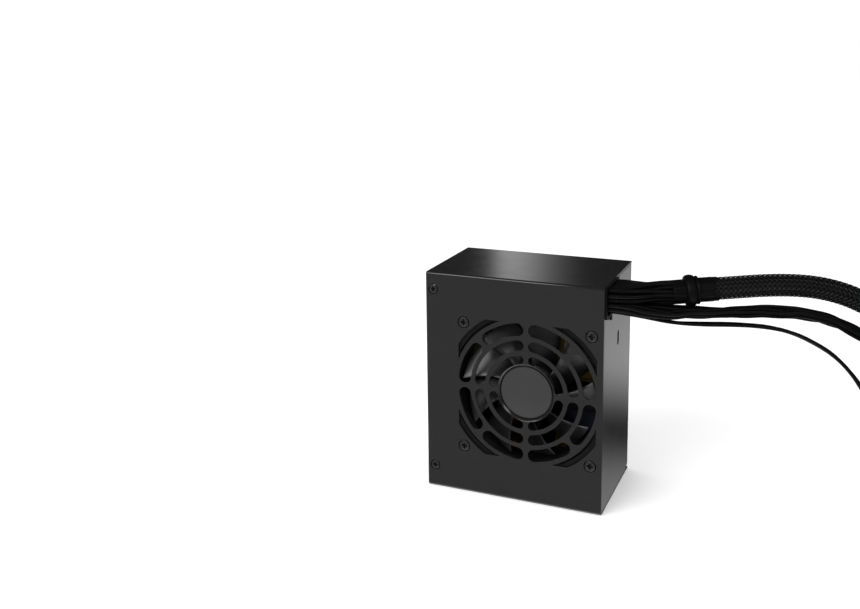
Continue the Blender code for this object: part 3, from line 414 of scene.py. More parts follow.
class Cable:
    """A bundle of wires: its path from the board to the plug, and where each wire lies in it."""

    def __init__(self, name):
        self.name = name
        self.diameter, self.nominal, route = ROUTES[name]
        self.columns, self.rows, self.pitch, across, up = LAYOUT[name]
        self.wire = WIRE[name]
        cad = smooth_route(route, CAD_STEP, self.nominal)
        kept = cad[math.ceil(JOINS_ROUTE / CAD_STEP):]
        x, y, z = OUTLET
        first = FROM_BOARD[0][0]
        inside = []
        for a, b in FROM_BOARD:
            turned = (a - first) / (x - first)
            inside.append((a + across * (1 - turned), b + across * turned, z + up))
        start = [(x - STRAIGHT, y + across, z + up), (x, y + across, z + up)]
        last = cad[-1] - cad[-2]
        level = unit(last * (1, 1, 0))
        self.nose = cad[-1] + PLUG_AHEAD * unit(last)
        into = cad[-1] + (PLUG_AHEAD + INTO_PLUG) * level
        line = smooth_route([*inside, *start, *kept.tolist(), into], WIRE_STEP)
        self.path = Path(line, (1, 0, 0), Path(line, (1, 0, 0)).lean())
        self.out = float(np.interp(x, self.path.points[5:60, 0], self.path.run[5:60]))
        self.end = self.path.length
        self.long = self.end - self.out
        self.way = Vector(level)

    def wires(self, stages, wobble, seed):
        """Each wire's line. A stage says at which distance from the outlet the wires have which places."""
        chance = np.random.default_rng(seed)
        run = self.path.run
        marks = [self.out + s for s, _ in stages]
        places = np.array([p for _, p in stages])
        k = np.clip(np.searchsorted(marks, run) - 1, 0, len(marks) - 2)
        share = np.clip((run - np.array(marks)[k]) / np.diff(marks)[k], 0, 1)
        share = (share * share * (3 - 2 * share))[:, None, None]
        spots = places[k] * (1 - share) + places[k + 1] * share
        if self.rows == 1:
            roll = np.interp(run - self.out, *ROLLS) * math.radians(RIBBON_ROLL)
            turned = spots[:, :, :1] * np.stack([np.cos(roll), np.sin(roll)], axis=1)[:, None, :]
            spots = turned + spots * (0, 1)
        count = spots.shape[1]
        loose = np.clip((run - self.out - 3) / 12, 0, 1) * np.clip((self.end - 16 - run) / 12, 0, 1)
        for axis in (0, 1):
            for wave in (19.0, 33.0, 61.0):
                phase = chance.uniform(0, math.tau, count)
                swing = np.sin(run[:, None] * math.tau / wave + phase)
                spots[:, :, axis] += swing * (loose * wobble * wave / 61)[:, None]
        across = spots[:, :, 0:1] * self.path.side[:, None, :]
        return self.path.points[:, None, :] + across + spots[:, :, 1:2] * self.path.up[:, None, :]

    def stretch(self, low, high):
        """Which of the path's points lie between these distances from the outlet."""
        return (self.path.run >= self.out + low - 0.01) & (self.path.run <= self.out + high + 0.01)

    def line(self, low=0.0, high=1e9):
        return self.path.points[self.stretch(low, high)]


def tubes(bm, lines, wire):
    for line in lines:
        tube(bm, line, wire / 2, 10)


def plug_places(name, before):
    """Each wire's place in the plug, in the order in which the wires lie before it."""
    pitch = DRIVE_PITCH if name == "drive" else PIN_PITCH
    spots = block_of(*PLUG_GRID[name], pitch, PIN_PITCH, 0)
    given = np.empty_like(spots)
    given[np.lexsort((before[:, 1], before[:, 0]))] = spots[np.lexsort((spots[:, 1], spots[:, 0]))]
    return given + (0, LIFT[name])


def around(path, run, radius, sides):
    """Rings of points about the path: the radius is one number for each ring, or one for each point."""
    middle, side, up = path.at(run)
    angles = np.arange(sides) * math.tau / sides
    radius = np.broadcast_to(np.asarray(radius, float).reshape(len(run), -1), (len(run), sides))[..., None]
    spoke = np.cos(angles)[:, None] * side[:, None] + np.sin(angles)[:, None] * up[:, None]
    return (middle[:, None] + radius * spoke).tolist()


def shrink(bm, cable, low, high, radius, seed):
    """Shrunk tubing over the wires, with soft ridges where they press and a lip at each end."""
    chance = np.random.default_rng(seed)
    run = np.linspace(low, high, max(8, round((high - low) / 0.7)))
    sides = 48
    angles = np.arange(sides) * math.tau / sides
    swell = np.zeros((len(run), sides))
    for waves, height in ((3, 0.12), (7, 0.14), (11, 0.16), (16, 0.07)):
        phase = chance.uniform(0, math.tau) + 0.06 * (run[:, None] - low)
        swell += height * np.sin(waves * angles + phase)
    edge = np.minimum(run - low, high - run)[:, None]
    lip = np.where(edge < 0.35, -0.35, 0.0)
    rings(bm, around(cable.path, run + cable.out, radius + swell + lip, sides))


def braid(bm, cable, low, high, radius):
    """Flat bands of bristle wound both ways round the cable, over and under each other."""
    bands, pitch = 13, 33.0
    steps = round((high - low) / pitch * 2 * bands * 3)
    run = np.linspace(low, high, steps)
    middle, side, up = cable.path.at(run + cable.out)
    crossing = math.pi * 2 * bands * run / pitch
    half = math.pi / bands * 0.43
    profile = [(-half, 0.0), (-half * 0.62, 0.2), (0, 0.28), (half * 0.62, 0.2), (half, 0.0), (0, -0.08)]
    for way in (1, -1):
        level = radius - 0.05 + 0.2 * way * np.cos(crossing)
        for band in range(bands):
            turn = math.tau * (band / bands + way * run / pitch)
            strip = []
            for shift, height in profile:
                spoke = np.cos(turn + shift)[:, None] * side + np.sin(turn + shift)[:, None] * up
                strip.append(middle + spoke * (level + height)[:, None])
            rings(bm, np.array(strip).swapaxes(0, 1).tolist())


def bead(bm, cable, centre, profile):
    """A ring round the cable. The profile is (along, radius) points, outer side first."""
    run = np.array([centre + a for a, _ in profile]) + cable.out
    rings(bm, around(cable.path, run, [r for _, r in profile], 56), close=True)


BEVEL_ANGLE, SHARP_ANGLE = 32, 50
SQUARE_ON = 0.9999  # a face whose normal is this near an axis is a flat wall


def settle(made, edge, segments=2):
    """Round the edges a little and keep the shape that the modifiers give. Flat walls are shaded flat."""
    bevel = made.modifiers.new("edges", "BEVEL")
    bevel.width = edge * MM
    bevel.segments = segments
    bevel.limit_method = "ANGLE"
    bevel.angle_limit = math.radians(BEVEL_ANGLE)
    tools = [m.object for m in made.modifiers if m.type == "BOOLEAN"]
    bpy.context.view_layer.update()
    graph = bpy.context.evaluated_depsgraph_get()
    mesh = bpy.data.meshes.new_from_object(made.evaluated_get(graph), preserve_all_data_layers=True,
                                           depsgraph=graph)
    mesh.set_sharp_from_angle(angle=math.radians(SHARP_ANGLE))
    for face in mesh.polygons:
        face.use_smooth = max(map(abs, face.normal)) <= SQUARE_ON
    made.modifiers.clear()
    made.data = mesh
    for tool in tools:
        bpy.data.objects.remove(tool)
    return made


def cut(made, *shapes, operation="DIFFERENCE"):
    """Take shapes that don't overlap away from the piece, all at once."""
    tool = show(f"tool_{made.name}", None, shapes)
    tool.hide_render = True
    change = made.modifiers.new("shape", "BOOLEAN")
    change.operation = operation
    change.solver = "EXACT"
    change.object = tool


def unite(made, *shapes):
    cut(made, *shapes, operation="UNION")


def box(bm, low, high):
    """A block between two corners."""
    size = [b - a for a, b in zip(low, high)]
    middle = [(a + b) / 2 for a, b in zip(low, high)]
    bmesh.ops.create_cube(bm, size=1.0, matrix=Matrix.Translation(middle) @ Matrix.Diagonal((*size, 1)))


PLANES = {
    "X": lambda a, b, h: (h, a, b),
    "Y": lambda a, b, h: (a, h, b),
    "Z": lambda a, b, h: (a, b, h),
}


def prism(bm, outline, axis, low, high):
    """A flat outline drawn across the axis, extruded along it from low to high."""
    rings(bm, [[PLANES[axis](a, b, h) for a, b in outline] for h in (low, high)])


def set_down(made, cable):
    """Put a plug, drawn from its back along X, on the ground at the cable's end."""
    turn = Matrix.Rotation(math.atan2(cable.way.y, cable.way.x), 4, "Z")
    x, y, _ = cable.nose
    made.data.transform(Matrix.Translation((x * MM, y * MM, 0.1 * MM)) @ turn)


LATCH = [(2.0, 10.1), (2.0, 11.1), (4.8, 11.1), (11.6, 10.7), (13.8, 11.2), (15.9, 10.3), (15.9, 9.9),
         (14.9, 9.9), (14.5, 9.2), (13.4, 10.0), (8.9, 10.0), (8.7, 9.2), (7.0, 9.2), (6.8, 10.0)]
SIDES = (-1, 1)


def make_connector(name):
    """A housing with a square chamber for each contact, cut apart at the front, and a latch on top."""
    long, high = 14.5, 9.6
    columns, _ = PLUG_GRID[name]
    wide = columns * PIN_PITCH + 1.2
    made = show(f"{name}_connector", "plug_plastic", [(box, (0, -wide / 2, 0), (long, wide / 2, high))])
    unite(made, (prism, LATCH, "Y", -2.3, 2.3))
    unite(made, *[(box, (2.5 + rib * 0.8, -1.9, 11.0), (2.9 + rib * 0.8, 1.9, 11.25)) for rib in range(3)],
          *[(box, (7.4, side * 3.3 - 0.6, 9.2), (13.6, side * 3.3 + 0.6, 10.4)) for side in SIDES])
    chambers = []
    for column in range(columns):
        y = (column - (columns - 1) / 2) * PIN_PITCH
        for row in SIDES:
            z = high / 2 + row * PIN_PITCH / 2
            chambers += [(box, (5.5, y - 1.45, z - 1.45), (long + 1, y + 1.45, z + 1.45)),
                         (box, (-1, y - 1.25, z - 1.25), (4.4, y + 1.25, z + 1.25))]
    cut(made, *chambers)
    gaps = [(gap - columns / 2) * PIN_PITCH for gap in range(1, columns)]
    cut(made, *[(box, (6.2, y - 0.2, low), (long + 1, y + 0.2, top))
                for y in gaps for low, top in ((-1, 4.55), (5.05, 9.1))],
        (box, (6.2, -wide, high / 2 - 0.2), (long + 1, wide, high / 2 + 0.2)))
    return settle(made, 0.12)


def make_drive_plug(name):
    """The flat plug for a disk drive, with the angled slot for its contacts."""
    half = 11.6
    outline = [(0, 0.2), (0, 6.2), (8.5, 6.4), (14, 5.2), (14, 0.4), (9, 0)]
    made = show(f"{name}_connector", "plug_plastic", [(prism, outline, "Y", -half, half)])
    slot = [(-9.8, 1.7), (9.8, 1.7), (9.8, 4.7), (7.9, 4.7), (7.9, 3.6), (-9.8, 3.6)]
    wires = [(k - 2) * DRIVE_PITCH for k in range(5)]
    cut(made, (prism, slot, "X", 6, 15), *[(box, (-1, y - 1.2, 2.0), (3.4, y + 1.2, 4.4)) for y in wires],
        *[(box, (2.6, y - 0.7, -1), (7.0, y + 0.7, 8)) for y in (-half, half)])
    unite(made, *[(box, (7, -8.9 + k * 1.15, 1.5), (13.2, -8.5 + k * 1.15, 1.95)) for k in range(15)])
    return settle(made, 0.15)


def piece_of(name, finish, shapes, *nodes):
    """A new piece that rides on the case and stands for the CAD nodes."""
    return belongs(show(name, finish, shapes, 40), finish, *nodes)


PLUG_AHEAD = 0.6  # clear air between a cable's end in CAD and its plug
INTO_PLUG = 2.4  # how far the wires run on into the plug
FAN_OUT = {"atx": 33.0, "cpu": 15.0, "pcie": 15.0, "drive": 14.0}  # where the wires start to spread
STAYS = {"atx": 7.0, "cpu": 3.0, "pcie": 3.0, "drive": 5.0}  # wires further out spread in a piece apart
LIFT = {"atx": -1.3, "cpu": 1.3, "pcie": 1.3, "drive": 0.4}  # plug's middle over the cable's
WOBBLE = {"atx": 0.25, "cpu": 0.5, "pcie": 0.5, "drive": 0.1}

FAR = 999.0  # beyond any cable's end
GATHERS = (3, 24)  # from the outlet to where the wires lie together
AT_PLUG = 4.5  # from here to the end the wires lie as in the plug
WIDE_START = 8.5  # wires further out start in a piece apart, up to SPLIT
SPLIT = 15.0
OVERLAP = 1.5
GROMMET_PROUD = 1.2
SHRINK = (28.0, 49.5, 6.3)  # tubing where the main cable gathers: from, to and radius
COLLAR = 38.1
BRAID_FROM, BRAID_RADIUS = 48.5, 5.6
COLLAR_PROFILE = [
    (-3.5, 6.6), (-3.3, 7.5), (-2.6, 8.1), (-1.2, 8.4), (0.2, 8.3), (1.2, 7.9), (1.7, 7.3), (1.95, 7.05),
    (2.2, 7.2), (2.7, 7.5), (3.2, 7.4), (3.5, 7.0), (3.5, 5.9), (-3.5, 5.9),
]


def wire_stages(cable, fan_out):
    """Where the wires lie along a cable: spread in the outlet, gathered after it, spread at the plug."""
    start = block_of(cable.columns, cable.rows, cable.pitch)
    if cable.name == "atx":
        gathered = round_of(len(start), start, cable.wire * 0.98)
    else:
        gathered = block_of(cable.columns, cable.rows, cable.wire * 1.03, cable.wire * 0.95)
    end = plug_places(cable.name, gathered)
    return [(-FAR, start), (GATHERS[0], start), (GATHERS[1], gathered), (fan_out, gathered),
            (cable.long - AT_PLUG, end), (FAR, end)]


def add_cable(name, inside):
    """One cable with its plug. Its stretch in the case goes to the wires inside."""
    cable = Cable(name)
    fan_out = cable.long - INTO_PLUG - FAN_OUT[name]
    stages = wire_stages(cable, fan_out)
    wires = cable.wires(stages, WOBBLE[name], SEED + len(stages[0][1]))
    wide_at_start = np.abs(stages[0][1][:, 0]) > WIDE_START
    wide_at_end = np.abs(stages[-1][1][:, 0]) > STAYS[name]

    def part(low, high, chosen=slice(None)):
        return tubes, wires[cable.stretch(low, high)].transpose(1, 0, 2)[chosen], cable.wire

    inside.append(part(-FAR, OVERLAP))
    top = BRAID_FROM + 3 if name == "atx" else fan_out
    main = [part(0, top, ~wide_at_start), part(SPLIT, top, wide_at_start),
            part(fan_out - OVERLAP, FAR, ~wide_at_end)]
    if name == "atx":
        main.append((tube, cable.line(BRAID_FROM, fan_out), BRAID_RADIUS - 0.5, 24))
    spread = [part(0, SPLIT + OVERLAP, wide_at_start), part(fan_out - OVERLAP, FAR, wide_at_end)]
    made = piece_of(f"{name}_wires", "wire_cover", main, f"{name}_cable")
    with_pieces = [piece_of(f"{name}_spread", "wire_cover", spread)]
    plug = make_drive_plug(name) if name == "drive" else make_connector(name)
    set_down(plug, cable)
    with_pieces.append(belongs(plug, "plug_plastic", f"{name}_plug"))
    if name == "atx":
        with_pieces += add_main_cover(cable, fan_out)


def add_main_cover(cable, fan_out):
    """What the main cable wears over its wires: tubing, a rubber collar and a braided sleeve."""
    low, high, radius = SHRINK
    return [
        piece_of("gathering_tube", "black_rubber", [(shrink, cable, low, high, radius, 3)]),
        piece_of("end_tube", "black_rubber", [(shrink, cable, fan_out - 12, fan_out + 3, radius - 0.3, 5)]),
        piece_of("rubber_collar", "black_rubber", [(bead, cable, COLLAR, COLLAR_PROFILE)], "cable_collar"),
        piece_of("braided_sleeve", "sleeve", [(braid, cable, BRAID_FROM, fan_out - 6, BRAID_RADIUS)]),
    ]


def add_grommet():
    """The thin rubber lining of the corner notch, with a lip each side of the wall and a tab below."""
    low, high = corners("cable_grommet")
    y, z = (low[1] + 0.05, high[1] - 0.05), (low[2] + 3.0, high[2] - 0.05)
    middle = ((y[0] + y[1]) / 2, (z[0] + z[1]) / 2)
    size = (y[1] - y[0], z[1] - z[0])
    lip = (EAST + 0.25, EAST + GROMMET_PROUD)
    made = show("grommet", "black_rubber", [(prism, rectangle(middle, size, 0.6, 3), "X", *lip)])
    unite(made, (box, (low[0] + 0.2, y[0] + 0.9, z[0] + 0.65), (EAST + 0.7, y[1] - 0.7, z[1] - 0.9)))
    unite(made, (box, (lip[0], FRONT + 10.9, low[2] + 0.1), (lip[1], FRONT + 13.1, z[0] + 1)))
    opening = rectangle(middle, (size[0] - 2.6, size[1] - 2.2), 1.6, 6)
    cut(made, (prism, opening, "X", low[0] - 1, high[0] + 1))
    belongs(settle(made, 0.2), "black_rubber", "cable_grommet")


def arc(centre, radius, start, end, steps):
    """Points from start to end, in degrees, both included."""
    angles = [math.radians(start + (end - start) * i / steps) for i in range(steps + 1)]
    return [(centre[0] + radius * math.cos(a), centre[1] + radius * math.sin(a)) for a in angles]


def rectangle(centre, size, corner=0.0, steps=0):
    """Corner points, or rounded corners in this many steps each."""
    x, y = size[0] / 2 - corner, size[1] / 2 - corner
    middles = [(centre[0] + a * x, centre[1] + b * y) for a, b in ((1, 1), (-1, 1), (-1, -1), (1, -1))]
    if not corner:
        return middles
    return [p for k, middle in enumerate(middles) for p in arc(middle, corner, 90 * k, 90 * k + 90, steps)]


def add_cables():
    inside = []
    for name in ROUTES:
        add_cable(name, inside)
    piece_of("wires_inside", "wire_cover", inside, "wire_loom")
    add_grommet()


# Case: sheet steel, drawn over the CAD's own sizes.
SHEET, BEND = 0.8, 1.2
INSIDE = FRONT + SHEET
TRAY_FRONT = INSIDE + 0.3
SLIT_ENDS = 0.01
INWARD = (0, 1, 0)
QUARTERS = (0, 90, 180, 270)
MOUNT_HOLES = [(y, z) for y in (-25.75, 25.75) for z in (6.0, 119.0)]
FAN = FAN_X, FAN_Z = 7.8, 62.65
HUB = (FAN_X, FRONT, FAN_Z)
RINGS = [(16.2, 21.2, 4), (23.6, 29.6, 4), (31.9, 39.0, 8)]  # inner and outer radius, slots
SPOKE = 2.6
CORNER_RING, CORNER_LIMIT = (41.3, 45.2), 38.8
DISH_DEPTH = 1.9
INLET_FACE, INLET_Z = -51.9, 24.0
INLET_SCREWS = (-20, 20)
SWITCH_FACE, SWITCH_Z = -51.3, 48.0
HEX_ACROSS, HEX_PITCH, HEX_ROWS, HEX_LOW = 6.0, 7.3, 9, 63.0
BOARD_SCREWS = [(x, z) for x in (-42.0, 42.0) for z in (8.0, 102.0)]
BOSS = 27.6  # the board's side of the bosses for its screws

# Countersunk screws: places, direction, and their head radius, shank radius, head depth and length.
SCREWS = {
    "cover": ([(-45.8, FRONT, z) for z in (12.6, 115.5)], INWARD, (2.35, 1.4, 1.5, 6.0)),
    "fan": ([(FAN_X + a * 35.75, FRONT, FAN_Z + b * 35.75) for a in SIDES for b in SIDES], INWARD,
            (2.85, 2.0, 1.6, 8.0)),
    "inlet": ([(INLET_FACE, y, INLET_Z) for y in INLET_SCREWS], (1, 0, 0), (2.7, 1.4, 1.4, 7.0)),
}
SEAT_GAP = 0.56


def turned(bm, profile, base, direction, steps, close=False):
    """A profile of (radius, height) points turned about a line; an open one gets flat ends."""
    turn = Vector((0, 0, 1)).rotation_difference(Vector(direction)).to_matrix()
    angles = [math.tau * i / steps for i in range(steps)]
    loops = [[Vector(base) + turn @ Vector((r * math.cos(a), r * math.sin(a), h)) for a in angles]
             for r, h in profile]
    rings(bm, loops, close)


def folded(path):
    """Outline of a sheet that is bent to the left at each right-angled corner of its outer line."""
    path = [Vector(p) for p in path]
    ways = [(b - a).normalized() for a, b in zip(path, path[1:])]
    left = [Vector((-w.y, w.x)) for w in ways]
    outer, inner = [path[0]], [path[0] + left[0] * SHEET]
    steps = 6
    for corner, before, after in zip(path[1:-1], ways, ways[1:]):
        centre = corner + (after - before) * BEND
        for t in range(steps + 1):
            angle = math.radians(90 * t / steps)
            out = before * math.sin(angle) - after * math.cos(angle)
            outer.append(centre + out * BEND)
            inner.append(centre + out * (BEND - SHEET))
    outer.append(path[-1])
    inner.append(path[-1] + left[-1] * SHEET)
    return [tuple(p) for p in outer + inner[::-1]]


def slot_end(radius, degrees, half, start):
    """The round end of a slot: half a circle about a point of the ring."""
    return arc(arc(FAN, radius, degrees, degrees, 1)[0], half, start, start + 180, 14)[:-1]


def ring_slot(inner, outer, start, end):
    """A slot along a ring of the grille, with round ends."""
    middle, half = (inner + outer) / 2, (outer - inner) / 2
    margin = math.degrees(math.asin((SPOKE / 2 + half) / middle))
    first, last = start + margin, end - margin
    steps = max(6, round((last - first) / 3))
    return (arc(FAN, outer, first, last, steps)[:-1] + slot_end(middle, last, half, last)
            + arc(FAN, inner, last, first, steps)[:-1] + slot_end(middle, first, half, first - 180))


def corner_slot(start):
    """A crescent outside the rings, where the fan frame's face shows."""
    inner, outer = CORNER_RING
    first, last = (math.degrees(math.acos(CORNER_LIMIT / r)) for r in CORNER_RING)
    return (arc(FAN, outer, start + last, start + 90 - last, 16)
            + arc(FAN, inner, start + 90 - first, start + first, 20))


def seats(kind):
    """The holes for a set of screws, a little wider than the screws."""
    spots, direction, (head, shank, deep, length) = SCREWS[kind]
    head, shank = head + SEAT_GAP, shank + 0.3
    profile = [(head, -1), (head, 0.65), (shank, deep + 0.6), (shank, length + 0.4)]
    return [(turned, profile, spot, direction, 48) for spot in spots]


def add_screw(name, spot, direction, size):
    """A countersunk screw with a cross recess that narrows with depth and a short thread."""
    head, shank, deep, length = size
    profile = [(head * 0.55, -0.06), (head - 0.25, 0.0), (head - 0.06, 0.08), (head, 0.2),
               (head - 0.2, 0.6), (shank, deep)]
    level, groove = deep + 0.4, 0.0
    while level < length - 0.6:
        profile.append((shank * (0.9 if groove else 1.0), level))
        level, groove = level + 0.35, 1 - groove
    profile += [(shank * 0.85, length - 0.3), (shank * 0.5, length)]
    made = show(f"set_{name}", "black_screw", [(turned, profile, (0, 0, 0), (0, 0, 1), 48)])
    arm, half, notch = head * 0.64, head * 0.16, head * 0.23
    quarter = [(arm, half), (notch * 1.4, half * 1.25), (half * 1.25, notch * 1.4), (half, arm)]
    cross = []
    for k in range(4):
        turn = Matrix.Rotation(math.radians(90 * k), 2)
        cross += [turn @ Vector(p) for p in quarter]
    levels = ((1.05, -0.4), (0.97, 0.3), (0.82, deep + 0.4))
    cut(made, (rings, [[(p.x * s, p.y * s, h) for p in cross] for s, h in levels]))
    settle(made, 0.05, 1)
    turn = Vector((0, 0, 1)).rotation_difference(Vector(direction)).to_matrix().to_4x4()
    made.data.transform(Matrix.Translation(Vector(spot) * MM) @ turn)
    belongs(made, "black_screw", name)


def add_screws():
    for kind, (spots, direction, size) in SCREWS.items():
        for k, spot in enumerate(spots):
            add_screw(f"{kind}_screw_{k + 1}", spot, direction, size)


def add_cover():
    """The painted cover, with the grille and the hub's dish pressed into its fan panel."""
    outline = folded([(BACK, HIGH_EDGE), (FRONT, HIGH_EDGE), (FRONT, 0), (BACK, 0)])
    cover = show("steel_cover", "painted_steel", [(prism, outline, "X", WEST, EAST)])
    bulge = [(16.05, 0.5 * SHEET), (16.05, SHEET + 0.12), (15.85, SHEET + 0.4), (15.5, SHEET + 0.85),
             (15.35, SHEET + 1.15), (15.2, SHEET + 1.8), (15.0, SHEET + DISH_DEPTH)]
    hollow = [(16.9, -0.6), (16.3, -0.06), (16.0, 0.03), (15.85, 0.12), (14.9, 1.2), (14.8, 1.4),
              (14.75, DISH_DEPTH)]
    opening = [(14.0, 0.5), (14.0, DISH_DEPTH + 2)]
    for profile, operation in ((bulge, "UNION"), (hollow, "DIFFERENCE"), (opening, "DIFFERENCE")):
        cut(cover, (turned, profile, HUB, INWARD, 96), operation=operation)
    slots = [ring_slot(inner, outer, k * 360 / count, k * 360 / count + 360 / count)
             for inner, outer, count in RINGS for k in range(count)]
    slots += [corner_slot(start) for start in QUARTERS]
    cut(cover, *[(prism, slot, "Y", FRONT - 1, INSIDE + 1) for slot in slots])
    slits = ((35, (4, 4)), (24, (7, 2.6)), (7, (17, 2.6)), (-15, (17, 2.6)))
    cut(cover, *seats("cover"), *seats("fan"),
        *[(prism, rectangle((x, BACK - 7), size, size[1] / 2 - SLIT_ENDS, 8), "Z", -1, SHEET + 1)
          for x, size in slits])
    belongs(settle(cover, 0.11), "painted_steel", "fan_cover")


def add_badge():
    profile = [(13.95, 0.95), (14.2, 1.0), (14.35, 1.2), (14.35, 1.75)]
    badge = show("hub_disc", "badge", [(turned, profile, HUB, INWARD, 96)])
    belongs(badge, "badge", "hub_badge")


def mains_wall_holes():
    """The outlines cut out of the mains wall: exhaust, mounting and inlet screws, inlet and switch."""
    rise = HEX_PITCH * math.sqrt(3) / 2
    holes = []
    for row in range(HEX_ROWS):
        count = 7 - row % 2
        for k in range(count):
            spot = ((k - (count - 1) / 2) * HEX_PITCH, HEX_LOW + row * rise)
            holes.append(arc(spot, HEX_ACROSS / math.sqrt(3), 30, 330, 5))
    holes += [arc(spot, 1.6, 0, 345, 23) for spot in MOUNT_HOLES]
    holes += [arc((y, INLET_Z), 1.8, 0, 345, 23) for y in INLET_SCREWS]
    return holes + [rectangle((0, INLET_Z), (27.6, 20.2)), rectangle((0, SWITCH_Z), (19.5, 13.3))]


def add_tray():
    """The painted tray round the board: cable wall, back, and mains wall."""
    path = [(EAST, TRAY_FRONT), (EAST, BACK), (WEST, BACK), (WEST, TRAY_FRONT), (WEST + 8, TRAY_FRONT)]
    tray = show("steel_tray", "painted_steel", [(prism, folded(path), "Z", TRAY_LOW, TRAY_HIGH)])
    unite(tray, *[(turned, [(3.2, 0), (3.2, 3.6)], (x, BOSS, z), INWARD, 32) for x, z in BOARD_SCREWS])
    slits = [rectangle((FRONT + 47.5, HIGH_EDGE - 10 - 5 * k), (17, 2.6), 1.29, 8) for k in range(3)]
    slits.append(rectangle((FRONT + 32.3, 89.3), (3.2, 8.2), 1.59, 8))
    cut(tray, *[(prism, hole, "X", WEST - 1, WEST + 2) for hole in mains_wall_holes()],
        *[(prism, slit, "X", EAST - 2, EAST + 1) for slit in slits])
    cut(tray, (box, (EAST - 2, FRONT - 1, 108.4), (EAST + 1, -4.4, HIGH_EDGE)),
        (box, (EAST - 5, BACK - 5, -1), (EAST + 1, BACK + 1, 2.6)), *seats("cover"),
        *[(turned, [(1.8, -1), (1.8, 3.2)], (x, 27.3, z), INWARD, 24) for x, z in BOARD_SCREWS])
    belongs(settle(tray, 0.1), "painted_steel", "base_tray")


# Fan

BLADES, BLADE_TIP, HUB_RADIUS, BORE = 9, 37.2, 15.5, 38.6
MOTOR_SEAT = 16.5


def at_fan(depth=0.0):
    return (FAN_X, TRAY_FRONT + depth, FAN_Z)


def add_fan_frame():
    """The square frame: bore, gaps between the struts, pockets, bearing ring and recessed corners."""
    outline = rectangle(FAN, (80, 80), 5, 8)
    # The frame takes the darker copy of the fan plastic, which is painted shade.
    made = show("fan_housing", "shade_darkened_frame_plastic", [(prism, outline, "Y", TRAY_FRONT, TRAY_FRONT + 15)])
    mouth = [(BORE + 1.6, -1), (BORE + 1.5, 0), (BORE + 0.6, 0.8), (BORE + 0.15, 2.0), (BORE, 4.0),
             (BORE, 13)]
    cut(made, (turned, mouth, at_fan(), INWARD, 120))
    half = math.degrees(2 / MOTOR_SEAT), math.degrees(2 / BORE)
    pocket = arc((0, 0), 41.0, 16, 74, 16) + [(11.3, 46), (46, 46), (46, 11.3)]
    shapes = []
    for k in range(4):
        start = 90 * k + 45
        gap = arc(FAN, BORE, start + half[1], start + 90 - half[1], 30)
        gap += arc(FAN, MOTOR_SEAT, start + 90 - half[0], start + half[0], 20)
        turn = Matrix.Rotation(math.radians(90 * k), 2)
        shapes += [(prism, gap, "Y", TRAY_FRONT + 12, TRAY_FRONT + 16),
                   (prism, [turn @ Vector(p) + Vector(FAN) for p in pocket], "Y", TRAY_FRONT + 4,
                    TRAY_FRONT + 11.5)]
    cut(made, *shapes)
    cut(made, *seats("fan"))
    bearing = [(3.6, 5.5), (5.0, 5.5), (5.0, 13.5), (3.6, 13.5)]
    unite(made, (turned, bearing, at_fan(), INWARD, 48, True))
    steps = [arc(FAN, 42.6, a + 26, a + 64, 16) + arc(FAN, BORE - 1, a + 64, a + 26, 16) for a in QUARTERS]
    cut(made, *[(prism, step, "Y", TRAY_FRONT - 1, TRAY_FRONT + 2.9) for step in steps])
    belongs(settle(made, 0.3), "black_plastic", "fan_frame")


def blade_spot(phase, along, back):
    """Where a blade's front surface lies: along from hub to tip, back from front edge to rear edge."""
    radius = HUB_RADIUS - 0.6 + (BLADE_TIP - HUB_RADIUS + 0.6) * along
    angle = math.radians(phase - 15.5 * (1 - along) - (34 - 3 * along) * back)
    depth = 1.2 + 0.8 * (1 - along) + 9.4 * (1.25 - 0.25 * back) * back
    return Vector(at_fan(depth)) + Vector((radius * math.cos(angle), 0, radius * math.sin(angle)))


def blade(bm, phase):
    """A thin twisted sheet with a round front edge, thinning towards its rear edge and its tip."""
    spans, chords = 14, 20
    sections = []
    for i in range(spans):
        along = i / (spans - 1)
        thick = 1.5 - 0.6 * along
        front, rear = [], []
        for j in range(chords):
            back = 0.5 - 0.5 * math.cos(math.pi * j / (chords - 1))
            bulge = thick * min(1, 3.2 * math.sqrt(back * (1 - back))) * (1 - 0.35 * back)
            middle = blade_spot(phase, along, back) + Vector((0, thick * 0.5, 0))
            front.append(middle - Vector((0, bulge / 2, 0)))
            rear.append(middle + Vector((0, bulge / 2 + 0.02, 0)))
        sections.append(front + rear[::-1])
    rings(bm, sections)


def add_rotor():
    hub = [(4.0, 3.28), (13.6, 3.2), (14.6, 3.3), (15.2, 3.7), (15.5, 4.4), (15.5, 12.2), (15.3, 12.4),
           (14.0, 12.4), (14.0, 4.6), (3.0, 4.6)]
    blades = [(blade, 16.1 + 360 / BLADES * k) for k in range(BLADES)]
    rotor = show("impeller", "black_plastic", [(turned, hub, at_fan(), INWARD, 96), *blades], 35)
    belongs(rotor, "black_plastic", "fan_rotor", body="fan")


# Mains wall

